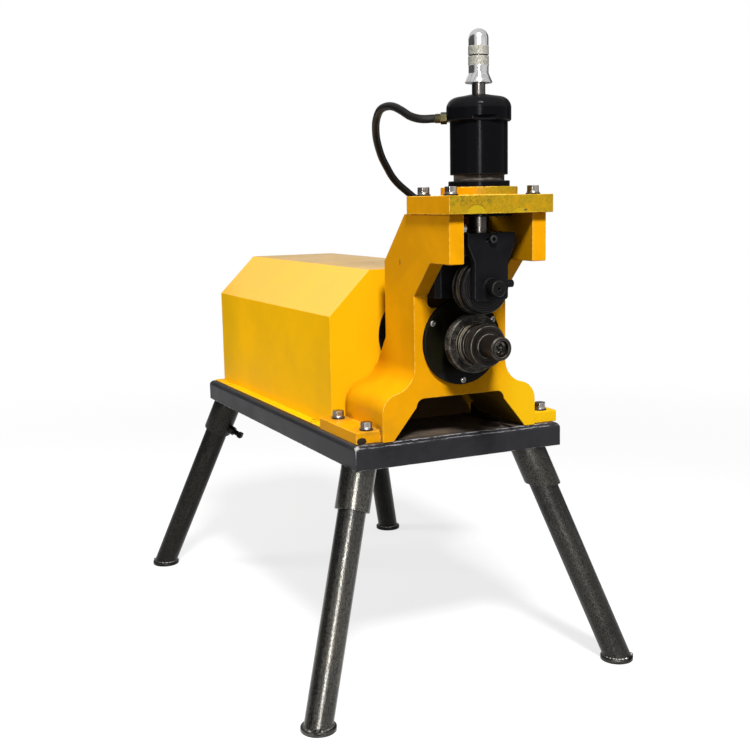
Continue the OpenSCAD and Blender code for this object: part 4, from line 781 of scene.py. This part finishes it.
def make_finishes(look):
    """One finish for each material slot of the record, and one for the weld beads."""
    sheet, cast, tray = tuple(look.enamel), tuple(look.cast), tuple(look.tray)
    rough_cast = {"peel": 0.10, "peel_scale": 190.0, "rough": 0.38, "cloud": 0.12}
    return {
        "tray_paint": dark_paint("tray enamel", tray, 0.36, tray_marks),
        "leg_paint": leg_metal("leg gunmetal"),
        "yellow_paint_cast": yellow("cast head enamel", cast, marks=cast_marks, **rough_cast),
        "yellow_paint_plate": yellow(
            "top plate enamel", scaled(cast, 0.92), 0.08, 230.0, 0.40, 0.14, plate_marks, edge_wear_and_highlight=0.6),
        "yellow_paint_sheet": yellow(
            "hood enamel", sheet, 0.02, 300.0, 0.36, 0.06, sheet_marks, edge_wear_and_highlight=0.15, chips=0.78, streaks=0.04,
            shine=0.012),
        "yellow_fastener": yellow("screw enamel", scaled(sheet, 0.9), 0.05, 300.0, 0.35, 0.15),
        "bright_fastener": steel(
            "zinc plate", (0.24, 0.23, 0.215), 0.30, cover=0.5, edge_share=0.4, marks=washer_marks),
        "black_steel": steel(
            "black oxide", (0.0048, 0.0048, 0.0062), 0.42, dirt=(0.003, 0.003, 0.003), cover=0.5,
            edge=(0.055, 0.055, 0.06), edge_share=0.6, marks=oxide_marks, metallic=0.12, specular=0.06),
        "black_gloss_steel": gloss_black("black gloss enamel"),
        "chrome": steel(
            "polished chrome", (0.50, 0.50, 0.50), 0.15, dirt=(0.20, 0.17, 0.12), cover=0.06,
            edge=(0.80, 0.80, 0.78), edge_share=0.3, marks=knurl_marks, pits=0.01),
        "ground_steel": steel("ground steel", (0.080, 0.074, 0.070), 0.22, cover=0.3),
        "dark_rod": steel("oily rod", (0.045, 0.041, 0.037), 0.26, cover=0.5),
        "worn_steel": steel(
            "worn hardened steel", (0.016, 0.013, 0.010), 0.36, grain=(60.0, 4.0, 4.0),
            dirt=(0.006, 0.005, 0.004), cover=0.6, edge=(0.24, 0.22, 0.19), edge_share=0.55, marks=roll_marks,
            metallic=0.4, specular=0.09),
        "spring_steel": steel("spring steel", (0.24, 0.24, 0.24), 0.35),
        "gear_steel": steel("gear steel", (0.30, 0.29, 0.27), 0.32, cover=0.5),
        "bronze": steel("bearing bronze", (0.42, 0.26, 0.10), 0.34),
        "fitting_brass": steel(
            "dull brass", (0.050, 0.043, 0.020), 0.28, cover=0.45, edge=(0.30, 0.27, 0.14)),
        # Painted shade: the primer inside the hood is near black, so the hood's hole reads dark.
        "grey_cast_iron": dark_paint("grey primer", (0.022, 0.023, 0.025), 0.5, peel=0.12),
        "motor_paint": dark_paint("motor enamel", (0.06, 0.09, 0.13), 0.4),
        "pump_paint": yellow("pump enamel", cast, **rough_cast),
        "black_plastic": plain("black moulding", (0.018, 0.018, 0.018), 0.45),
        "hose_rubber": plain("hose rubber", (0.0062, 0.0056, 0.0052), 0.42, 420.0, depth=0.03, share=0.3),
        "weld": steel("weld bead", (0.17, 0.165, 0.16), 0.42, cover=0.8, pits=0.2),
    }


FINISHES = {}


# Settings
class GrooverLook(bpy.types.PropertyGroup):
    """Colours and sizes that a user would change."""

    enamel: FloatVectorProperty(
        name="Sheet yellow", description="Enamel of the hood", subtype="COLOR", size=3,
        default=(0.93, 0.485, 0.002), min=0.0, max=1.0)
    cast: FloatVectorProperty(
        name="Casting yellow", description="Enamel of the head, plate and pump", subtype="COLOR", size=3,
        default=(0.75, 0.32, 0.002), min=0.0, max=1.0)
    tray: FloatVectorProperty(
        name="Tray grey", description="Enamel of the tray", subtype="COLOR", size=3,
        default=(0.021, 0.021, 0.0235), min=0.0, max=1.0)
    hose: FloatProperty(
        name="Hose diameter", description="Outside diameter of the hydraulic hose", default=0.0134,
        unit="LENGTH", min=0.012, max=0.014)
    edge: FloatProperty(
        name="Edge radius", description="Rounding of the head's and top plate's edges, in millimetres",
        default=1.0, min=0.3, max=2.0)
    key_light: FloatProperty(
        name="Key light", description="Power of the key lamp", default=180.0, unit="POWER", min=0.0,
        max=1000.0)


# Stage
def photo_camera():
    """The camera solved from the photo: aimed by yaw and pitch, then turned about its aim by the roll."""
    yaw, pitch, roll = np.radians(CAMERA_TURNS)
    forward = np.array([-np.cos(yaw) * np.cos(pitch), -np.sin(yaw) * np.cos(pitch), -np.sin(pitch)])
    right = np.cross(forward, [0.0, 0.0, 1.0])
    right /= np.linalg.norm(right)
    up = np.cross(right, forward)
    across = np.cos(roll) * right + np.sin(roll) * up
    upright = -np.sin(roll) * right + np.cos(roll) * up
    lens = bpy.data.cameras.new("camera")
    lens.sensor_width, lens.lens = SENSOR, LENS
    lens.clip_end = 60.0
    camera = placed("camera", lens)
    turn = Matrix((across, upright, -forward)).transposed().to_4x4()
    camera.matrix_world = Matrix.Translation(CAMERA_PLACE) @ turn
    bpy.context.scene.camera = camera


def soft_lamp(name, place, aim, size, power, diffuse=True, glossy=True):
    """A flat lamp that shines towards its aim."""
    data = bpy.data.lights.new(name, "AREA")
    data.shape, data.size, data.size_y = "RECTANGLE", *size
    data.energy = power
    made = placed(name, data)
    made.location = place
    made.rotation_euler = (Vector(aim) - Vector(place)).to_track_quat("-Z", "Y").to_euler()
    made.visible_diffuse, made.visible_glossy = diffuse, glossy


def dark_card(name, plan):
    """A standing card that only mirrored rays meet, so that polished round parts get darker flanks."""
    mesh = bpy.data.meshes.new(name)
    low, count = [(x, y, 0.05) for x, y, top in plan], len(plan)
    mesh.from_pydata(low + list(plan), [], [(i, i + 1, i + 1 + count, i + count) for i in range(count - 1)])
    f = Finish(name, 0.9, specular=0.0)
    f.base = (0.02, 0.02, 0.02, 1.0)
    f.glow(0.12)
    mesh.materials.append(f.finish())
    card = placed(name, mesh)
    for ray in ("camera", "diffuse", "transmission", "volume_scatter", "shadow"):
        setattr(card, f"visible_{ray}", False)


def white_surroundings():
    """White to the camera and in mirrors, and a faint even light on everything else."""
    world = bpy.data.worlds.new("white surroundings")
    wires = Wiring(world)
    faint, full = (wires.wired("ShaderNodeBackground", 0, {"Color": WHITE, "Strength": strength})
                   for strength in (0.22, 1.0))
    light = wires.wired("ShaderNodeMixShader", 0, {0: wires.seen(), 1: faint, 2: full})
    wires.feed(wires.put("ShaderNodeOutputWorld").inputs["Surface"], light)
    bpy.context.scene.world = world


def pale_floor():
    """A wide floor that keeps the shadow near the machine and turns into the white further out."""
    mesh = bpy.data.meshes.new("studio_floor")
    mesh.from_pydata([(-20, -20, 0), (20, -20, 0), (20, 20, 0), (-20, 20, 0)], [], [(0, 1, 2, 3)])
    f = Finish("pale floor", 0.9, specular=0.0)
    seen = f.seen()
    x, y, _ = f.parts(f.place)
    far = f.distance(x, y)
    f.base = f.mix(f.band(far, 1.0, 3.2), (0.34, 0.34, 0.34), (0.0, 0.0, 0.0))
    f.base = f.mix(seen, (0.22, 0.22, 0.22), f.base)
    f.glow(f.both(seen, f.band(far, 1.0, 3.2, 0.72, 1.0)))
    mesh.materials.append(f.finish())
    placed("studio_floor", mesh)


# Operators
class Builder:
    """What every step shares."""

    bl_options = {"REGISTER", "UNDO"}


class GROOVER_OT_stage(Builder, bpy.types.Operator):
    """Makes the camera, lamps, white surroundings and floor"""

    bl_idname = "groover.stage"
    bl_label = "Studio stage"

    def execute(self, context):
        context.scene.view_settings.view_transform = "Standard"
        photo_camera()
        power = context.scene.groover.key_light
        soft_lamp("key lamp", (2.45, -0.74, 3.20), (0.2, 0.0, 0.6), (0.6, 0.6), power)
        soft_lamp(
            "front strip", (3.15, -1.36, 1.05), (0.3, 0.0, 0.7), (0.26, 2.0), power * 0.62, diffuse=False)
        soft_lamp("side lamp", (-1.2, -2.4, 1.5), (-0.2, -0.18, 0.6), (1.0, 1.0), power * 0.21, glossy=False)
        dark_card("dark_card_left", [(0.56, 3.0, 2.6), (-2.4, 1.6, 2.6)])
        dark_card(
            "dark_card_right", [(1.1, -2.9, 3.6), (-1.4, -3.2, 3.6), (-3.3, -1.2, 1.7), (-3.3, 0.9, 1.7)])
        white_surroundings()
        pale_floor()
        return {"FINISHED"}


class GROOVER_OT_solids(Builder, bpy.types.Operator):
    """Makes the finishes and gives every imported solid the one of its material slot"""

    bl_idname = "groover.solids"
    bl_label = "Finish the solids"

    def execute(self, context):
        FINISHES.update(make_finishes(context.scene.groover))
        for name, solid in frame["nodes"].items():
            solid.data.materials.clear()
            solid.data.materials.append(FINISHES[SLOT_OF[name]])
        return {"FINISHED"}


class GROOVER_OT_hose(Builder, bpy.types.Operator):
    """Sweeps the hydraulic hose from the cylinder's cap to the pump"""

    bl_idname = "groover.hose"
    bl_label = "Hydraulic hose"

    def execute(self, context):
        diameter = context.scene.groover.hose / MM
        route = np.array(HOSE_ROUTE, float)
        line = spline_through(route, 8)
        hose = piece("hydraulic_hose_cover", *swept(line, diameter / 2, 24), "hydraulic_hose",
                     smooth=50.0, replaces=("hydraulic_hose",))
        return {"FINISHED"}


class GROOVER_OT_cylinder(Builder, bpy.types.Operator):
    """Turns the hydraulic cylinder: ring nut, barrel and domed cap with its wrench flat"""

    bl_idname = "groover.cylinder"
    bl_label = "Hydraulic cylinder"

    def execute(self, context):
        barrel = arc_corners([
            (17.05, 820, 0.4), (53.5, 820, 1), (53.5, 825, 0.8), (41, 825, 0.3), (41, 885.7, 1.2),
            (46.5, 886, 1.4), (46.5, CAP_LOW, 0.6), (35, CAP_LOW, 0.4), (35, 836, 0.5), (17.05, 836, 0.4)])
        turned("cylinder_barrel_body", barrel, CYLINDER_AXIS, "Z", "cylinder_barrel", 128)

        nut_r, slot_r, slot_half = 49.5, 45.5, 4.2

        def slotted(radius, place, angle):
            """Four spanner slots, each where nut_r * sin(turn from its middle) is under half its width."""
            turn = wrapped(angle - np.radians(30), TURN / 4)
            inside = (np.abs(nut_r * np.sin(turn)) < slot_half) & (place > 868.8)
            return np.where(inside, np.minimum(radius, slot_r), radius)

        nut = arc_corners([
            (41.05, 867, 0.3), (nut_r, 867, 0.8), (nut_r, 868.9, 0), (nut_r, 869.3, 0), (nut_r, 876.5, 1.2),
            (41.05, 876.5, 0.5)])
        turned("cylinder_ring_nut_body", nut, CYLINDER_AXIS, "Z", "cylinder_ring_nut", 180, slotted)

        cap_r, shoulder_size, flat_half, flat_top = 52, 18, 48, 977.5
        shoulder_z = CAP_LOW + 20.5
        side = arc_corners([
            (10.85, CAP_LOW, 0), (cap_r - 2, CAP_LOW, 0.8), (cap_r, CAP_LOW + 2, 0.8),
            (cap_r, flat_top - 0.3, 0), (cap_r, flat_top + 0.2, 0), (cap_r, shoulder_z - 1, 0)], closed=False)
        shoulder = arc(cap_r - shoulder_size, shoulder_z, shoulder_size, np.radians(81), 18)
        mouth = [(25, 1010.2), (13, 1012.5), (12.3, 1012.3), (11.5, 1010.6), (10.85, 1010.2)]

        def flat(radius, place, angle):
            """One wrench flat low on the cap: the radius is at most its distance / cos of the turn."""
            limit = flat_half / np.maximum(np.cos(wrapped(angle - np.radians(-19))), 0.5)
            return np.where((place < flat_top) & (radius > 40), np.minimum(radius, limit), radius)

        cap = np.vstack([side, shoulder, mouth])
        turned("cylinder_cap_body", cap, CYLINDER_AXIS, "Z", "cylinder_cap", 180, flat)
        return {"FINISHED"}


class GROOVER_OT_spring(Builder, bpy.types.Operator):
    """Winds the return spring, whose upper end follows the piston"""

    bl_idname = "groover.spring"
    bl_label = "Return spring"

    def execute(self, context):
        low, high = 838.8, 919.2
        turns, steps = 7, 224
        coil_r, wire_r = 30, 2.5
        angle = np.linspace(0, TURN * turns, steps)
        height = np.linspace(low, high, steps)
        line = np.stack([CYLINDER_X + coil_r * np.cos(angle), coil_r * np.sin(angle), height], 1)
        start, end = ((CYLINDER_X * MM, 0.0, z * MM) for z in (low, high))
        piece("return_spring_coil", *swept(line, wire_r, 12), "return_spring", smooth=60.0,
              replaces=("return_spring",), across=(BODY_OF["piston"], start, end))
        return {"FINISHED"}


class GROOVER_OT_knob(Builder, bpy.types.Operator):
    """Turns the chrome depth nut and its lock cap with their knurled rings"""

    bl_idname = "groover.knob"
    bl_label = "Depth stop"

    def execute(self, context):
        bore, knurl_r, dome_r = 10.85, 16.5, 16

        def knurled(low, high):
            """Points up a knurled side."""
            return np.stack([np.full(20, knurl_r), np.linspace(low, high, 20)], 1)

        def knurl(low, high):
            """Between two places the side drops with the nearer of two crossing sets of helical grooves."""
            depth, half_count, lead = 0.45, 30, 1.3

            def form(radius, place, angle):
                one = np.abs(np.sin(half_count * angle + place * lead))
                other = np.abs(np.sin(half_count * angle - place * lead))
                inside = (place > low) & (place < high) & (radius > 14)
                return np.where(inside, radius - depth * (1 - np.minimum(one, other)) ** 2, radius)
            return form

        flare = arc_corners([
            (bore, 1030, 0), (21.6, 1030, 0.6), (22.0, 1031.4, 0.5), (16.0, 1045, 0.6), (16.0, 1057, 0.2),
            (knurl_r, 1057.2, 0)], closed=False)
        top = [(16.2, 1071.6), (14.8, 1071.8), (14.8, 1073), (bore, 1073)]
        nut = np.vstack([flare, knurled(1057.6, 1071.2), top])
        turned("depth_nut_body", nut, CYLINDER_AXIS, "Z", "depth_nut", 240, knurl(1057.4, 1071.4))

        rim = [(bore, 1073.3), (16.0, 1073.3), (knurl_r, 1073.8)]
        collar = [(16.2, 1087.0), (15.7, 1087.4), (15.9, 1088.2)]
        dome = arc(0, 1098.4, dome_r)
        dome[-1, 0] = 0.0
        cap = np.vstack([rim, knurled(1074.2, 1086.6), collar, dome, [(0.0, 1101.3), (bore, 1101.3)]])
        turned("lock_cap_body", cap, CYLINDER_AXIS, "Z", "lock_cap", 240, knurl(1074.0, 1086.8))
        return {"FINISHED"}


class GROOVER_OT_rolls(Builder, bpy.types.Operator):
    """Turns the drive roll, the upper roll and the head of the slider's clamp screw"""

    bl_idname = "groover.rolls"
    bl_label = "Grooving rolls"

    def execute(self, context):
        drive = arc_corners([
            (16.05, 0, 0.3), (50, 0, 1.2), (50, 14, 0.8), (48.5, 16, 0.8), (36.5, 16, 0.6), (36.5, 29, 1.0),
            (31, 29.6, 0.8), (31, 45.4, 0.8), (36.5, 46, 1.0), (36.5, 52, 1.2), (33, 58, 1.4),
            (19.6, 58, 1.2), (19.4, 96, 0.8), (17.4, 98, 0.8), (13.5, 98, 0.5), (13.5, 80, 0.3),
            (8.1, 80, 0.3), (8.1, 72, 0.3), (16.05, 72, 0.3)])
        turned("drive_roll_body", drive, (428, 0, SPINDLE_Z), "X", "drive_roll", 144)
        upper = arc_corners([
            (17.55, 0, 0.3), (44.5, 0, 0.8), (46, 1.2, 0.8), (46, 4, 0.6), (44, 4.2, 0.3), (44, 12, 0.8),
            (41, 12.2, 0.5), (41, 14.8, 0.5), (46, 15, 1.4), (46, 23, 1.4), (41, 23.2, 0.5), (41, 25.8, 0.5),
            (44, 26, 0.9), (44, 30.5, 0.8), (42, 32.5, 0.8), (28.5, 32.5, 0.5), (28.5, 34.5, 0.5),
            (17.55, 34.5, 0.3)])
        turned("upper_roll_body", upper, (445.5, 0, ROLL_Z), "X", "upper_roll", 144)

        socket_half, socket_deep, head_r, head_h = 3.0, 4.5, 6.5, 7.0

        def socket(radius, place, angle):
            """Turns the round hole into a hexagon socket."""
            return np.where(radius < (socket_half + head_r) / 2, hexagon(angle, radius), radius)

        head = arc_corners([
            (0.0, -head_h, 0), (head_r, -head_h, 0.2), (head_r, 0, 0.7), (socket_half, 0, 0.25),
            (socket_half, -socket_deep, 0.1), (0.0, -socket_deep, 0)])
        turned("slider_clamp_screw_head", head, (SCREW_FRONT, 0, SCREW_Z), "X", "slider_fasteners",
               form=socket, replaces=())
        return {"FINISHED"}


class GROOVER_OT_head(Builder, bpy.types.Operator):
    """Rounds the edges of the cast head and the top plate"""

    bl_idname = "groover.head"
    bl_label = "Head and top plate"

    def execute(self, context):
        edge = context.scene.groover.edge
        dressed("head_casting", "head_casting_skin", 1.3 * edge)
        dressed("top_plate", "top_plate_skin", edge)
        return {"FINISHED"}


class GROOVER_OT_hood(Builder, bpy.types.Operator):
    """Rounds the bends of the hood and the tray, and narrows the hood's hole with a ring of its sheet"""

    bl_idname = "groover.hood"
    bl_label = "Hood and tray"

    def execute(self, context):
        dressed("hood", "hood_sheet", 0.7)
        hole_r, cut_r, sheet = 80.5, 84.45, 2
        rim = arc_corners([(hole_r, -sheet, 0.3), (cut_r, -sheet, 0.3), (cut_r, 0, 0.3), (hole_r, 0, 0.3)])
        turned("hood_hole_rim", rim, (HOOD_FRONT, 0, HOOD_HOLE_Z), "X", "hood", 128, replaces=())
        dressed("base_tray", "tray_sheet", 0.9)
        return {"FINISHED"}


class GROOVER_OT_legs(Builder, bpy.types.Operator):
    """Makes the pipe legs, foot discs, weld beads, sockets and clamp bolts"""

    bl_idname = "groover.legs"
    bl_label = "Legs"

    def execute(self, context):
        for name, (foot_xy, head_xy) in LEG_ENDS.items():
            foot, head = np.array([*foot_xy, FOOT_H]), np.array([*head_xy, TRAY_LOW])
            axes = cross_axes((head - foot) / np.linalg.norm(head - foot), (0.0, 0.0, 1.0))
            pipe_leg(f"leg_{name}", foot, head, axes)
            foot_disc(f"leg_{name}", foot)
            weld_bead(f"leg_{name}", foot, axes)
            leg_socket(f"leg_socket_{name}", head, axes, level=name == "front_left")
            clamp_bolt(f"leg_clamp_bolt_{name}", f"leg_socket_{name}", head, axes[0])
        return {"FINISHED"}


def cross_axes(along, reference):
    """A direction and two directions across it, the first of them square to the reference too."""
    side = np.cross(along, reference)
    side /= np.linalg.norm(side)
    return along, side, np.cross(side, along)


def ring_on(base, axes, radius, far=0.0, plane=None, sides=72):
    """A ring round a line: base + along * far + radius (side cos a + over sin a), or slid to a level plane.

    The second result is the same ring in the line's own frame, in metres, for patterns that follow the tube.
    """
    along, side, over = axes
    angle = circle(sides)
    radius = np.broadcast_to(radius, (sides,))
    x, y = radius * np.cos(angle), radius * np.sin(angle)
    across = x[:, None] * side + y[:, None] * over
    if plane is not None:
        far = (plane - base[2] - across[:, 2]) / along[2]
    far = np.broadcast_to(far, (sides,))
    return base + across + along * far[:, None], np.stack([x, y, far], 1) * MM


def tube(name, rings, node, replaces=(), material=None, smooth=35.0, closed=True):
    """Joins rings into a skin, round to the first ring again where it is closed."""
    points, own = (np.vstack([ring[k] for ring in rings]) for k in (0, 1))
    faces = grid_faces(len(rings), len(rings[0][0]), closed)
    piece(name, points, faces, node, material, smooth, replaces, {"along": own})


def pipe_leg(node, foot, head, axes):
    """A pipe whose lower rings are slid onto the foot disc and whose upper end stops inside the socket."""
    top = np.linalg.norm(head - foot) - 27.0
    low, high = ring_on(foot, axes, LEG_R, plane=FOOT_H), ring_on(foot, axes, LEG_R, top - 1.0)
    rings = [tuple(a + (b - a) * share for a, b in zip(low, high)) for share in np.linspace(0, 1, 24)]
    rings.append(ring_on(foot, axes, LEG_R - 1.0, top))
    rings.append(ring_on(foot, axes, LEG_BORE_R, top))
    rings.append(ring_on(foot, axes, LEG_BORE_R, plane=FOOT_H))
    tube(f"{node}_pipe", rings, node, (node,))


def foot_disc(node, foot):
    """A level disc with a chamfer above and below."""
    upright = tuple(np.roll(np.eye(3), 1, 0))
    profile = arc_corners([
        (0.0, 0, 0), (29.2, 0, 0.4), (30, 0.8, 0.5), (30, 6.4, 0.8), (28.4, FOOT_H, 0.8), (0.0, FOOT_H, 0)],
        closed=False)
    middle = foot - [0, 0, FOOT_H]
    tube(f"{node}_disc", [ring_on(middle, upright, r, z) for r, z in profile], node, closed=False)


def weld_bead(node, foot, axes):
    """A small circle carried round the pipe's footprint.

    Its radius ripples with the angle, swells at two spots and vanishes between them, at the drain slot.
    """
    steps, sides, thickness, ripple, gap, swelling = 240, 10, 1.7, 0.4, 0.24, 0.42
    base = ring_on(foot, axes, LEG_R, plane=FOOT_H, sides=steps)[0]
    away = base - foot
    away /= np.linalg.norm(away, axis=1)[:, None]
    off = np.abs(wrapped(np.arctan2(away[:, 1], away[:, 0]) - np.arctan2(foot[1], foot[0])))
    around = circle(steps)
    thick = thickness + ripple * (np.sin(26 * around) + np.sin(7 * around + 1.3) * np.sin(3 * around))
    thick = 0.1 + thick * np.clip((off - gap) / 0.1, 0, 1)
    thick += thickness * np.exp(-((off - swelling) / 0.11) ** 2)
    turn = circle(sides)[None, :, None]
    around_pipe = np.cos(turn) * away[:, None] + np.sin(turn) * np.array([0, 0, 1.0])
    bead = base[:, None] + thick[:, None, None] * around_pipe
    bead[..., 2] = np.maximum(bead[..., 2], FOOT_H - 1.0)
    piece(f"{node}_weld", bead.reshape(-1, 3), grid_faces(steps, sides, True), node, FINISHES["weld"], 60.0)


def leg_socket(node, head, axes, level):
    """A tube under the tray whose upper rings are slid to the tray's underside, with a softened lower rim.

    One that is sawn level has its lower rings slid to level planes too.
    """
    outer, inner, low = 30.15, 24.35, -79.0
    low_z = head[2] + low * axes[0][2]
    rings = [ring_on(head, axes, outer, plane=TRAY_LOW)]
    for radius, up in (
            (outer, 1.0), (outer - 0.3, 0.3), (outer - 1.0, 0.0), (inner + 0.6, 0.0), (inner, 0.6)):
        rings.append(ring_on(head, axes, radius, low + up, low_z + up if level else None))
    rings.append(ring_on(head, axes, inner, plane=TRAY_LOW))
    tube(f"{node}_tube", rings, node, (node,), FINISHES["leg_paint"])


def clamp_bolt(node, socket, head, along):
    """A hexagon nut on the socket, and a square-headed bolt whose thread is a ridge winding round its shank.

    Nut: a hexagon cut by a cone at its end. Head: a squared circle, radius = size / (cos^14 + sin^14)^(1/14).
    Thread: the radius falls with the share of a pitch between the distance out and the turn.
    """
    bolt = frame["nodes"][node].data
    places = np.empty(len(bolt.vertices) * 3)
    bolt.vertices.foreach_get("co", places)
    middle = places.reshape(-1, 3).mean(0) / MM - head
    base = head + along * (middle @ along)
    out = middle - along * (middle @ along)
    axes = cross_axes(out / np.linalg.norm(out), along)
    sides, shank_r, pitch, thread_depth = 48, 6.0, 1.75, 0.95
    angle = circle(sides)

    def rings(size, rows):
        return [ring_on(base, axes, np.minimum(size, r), far, sides=sides) for r, far in rows]

    nut = rings(hexagon(angle, 9.0), (
        (0.0, 28.2), (12, 28.2), (12, 39.0), (9.4, 40.15), (6.2, 40.15), (6.0, 39.6), (0.0, 39.6)))
    tube(f"{socket}_nut", nut, socket, material=FINISHES["leg_paint"], smooth=25.0, closed=False)
    far = np.arange(38.0, 52.16, pitch / 8)[:, None]
    wave = np.abs((far / pitch - angle[None] / TURN) % 1 - 0.5) * 2
    point = rings(shank_r, ((0.0, 24.5), (4.4, 24.5), (5.6, 26.0)))
    shank = rings(shank_r, zip(shank_r - thread_depth * wave, far[:, 0]))
    square = shank_r * (np.cos(angle) ** 14 + np.sin(angle) ** 14) ** (-1 / 14)
    top = [ring_on(base, axes, square * size, end, sides=sides) for size, end in (
        (0.94, 52.15), (1.0, 52.7), (1.0, 60.4), (0.93, 61.1), (0.0, 61.15))]
    tube(f"{node}_thread", point + shank + top, node, (node,), smooth=30.0, closed=False)


class GROOVER_OT_fittings(Builder, bpy.types.Operator):
    """Rounds the edges of bolts, slider, covers, fittings and the hand pump"""

    bl_idname = "groover.fittings"
    bl_label = "Bolts and fittings"

    def execute(self, context):
        for node, width in (
            ("head_bolts", 0.5), ("top_plate_bolts", 0.5), ("arm_bolt", 0.4), ("bearing_cover", 0.5),
            ("bearing_cover_screws", 0.3), ("slider_block", 0.8), ("slider_front_plate", 0.7),
            ("slider_fasteners", 0.4), ("roll_pin", 0.5), ("roll_pin_screw", 0.4), ("ram_rod", 0.4),
            ("depth_rod", 0.3), ("draw_bolt", 0.4), ("hood_screws", 0.3), ("hose_fittings", 0.4),
            ("pump_body", 1.5), ("pump_bracket", 0.8), ("pump_lever", 1.0), ("pump_plunger", 0.4),
            ("release_knob", 0.3),
        ):
            dressed(node, f"{node}_body", width)
        return {"FINISHED"}


STEPS = (
    GROOVER_OT_stage, GROOVER_OT_solids, GROOVER_OT_hose, GROOVER_OT_cylinder, GROOVER_OT_spring,
    GROOVER_OT_knob, GROOVER_OT_rolls, GROOVER_OT_head, GROOVER_OT_hood, GROOVER_OT_legs,
    GROOVER_OT_fittings,
)


class GROOVER_PT_panel(bpy.types.Panel):
    """Lists the settings and the steps"""

    bl_idname = "GROOVER_PT_panel"
    bl_label = "Roll groover"
    bl_space_type = "VIEW_3D"
    bl_region_type = "UI"
    bl_category = "Roll groover"

    def draw(self, context):
        for key in ("enamel", "cast", "tray", "hose", "edge", "key_light"):
            self.layout.prop(context.scene.groover, key)
        for step in STEPS:
            self.layout.operator(step.bl_idname)


CLASSES = (GrooverLook, *STEPS, GROOVER_PT_panel)


def register():
    for cls in CLASSES:
        bpy.utils.register_class(cls)
    bpy.types.Scene.groover = PointerProperty(type=GrooverLook)


def unregister():
    del bpy.types.Scene.groover
    for cls in reversed(CLASSES):
        bpy.utils.unregister_class(cls)


def main():
    register()
    for step in STEPS:
        group, name = step.bl_idname.split(".")
        getattr(getattr(bpy.ops, group), name)()
    bpy.context.view_layer.update()


if __name__ == "__main__":
    main()
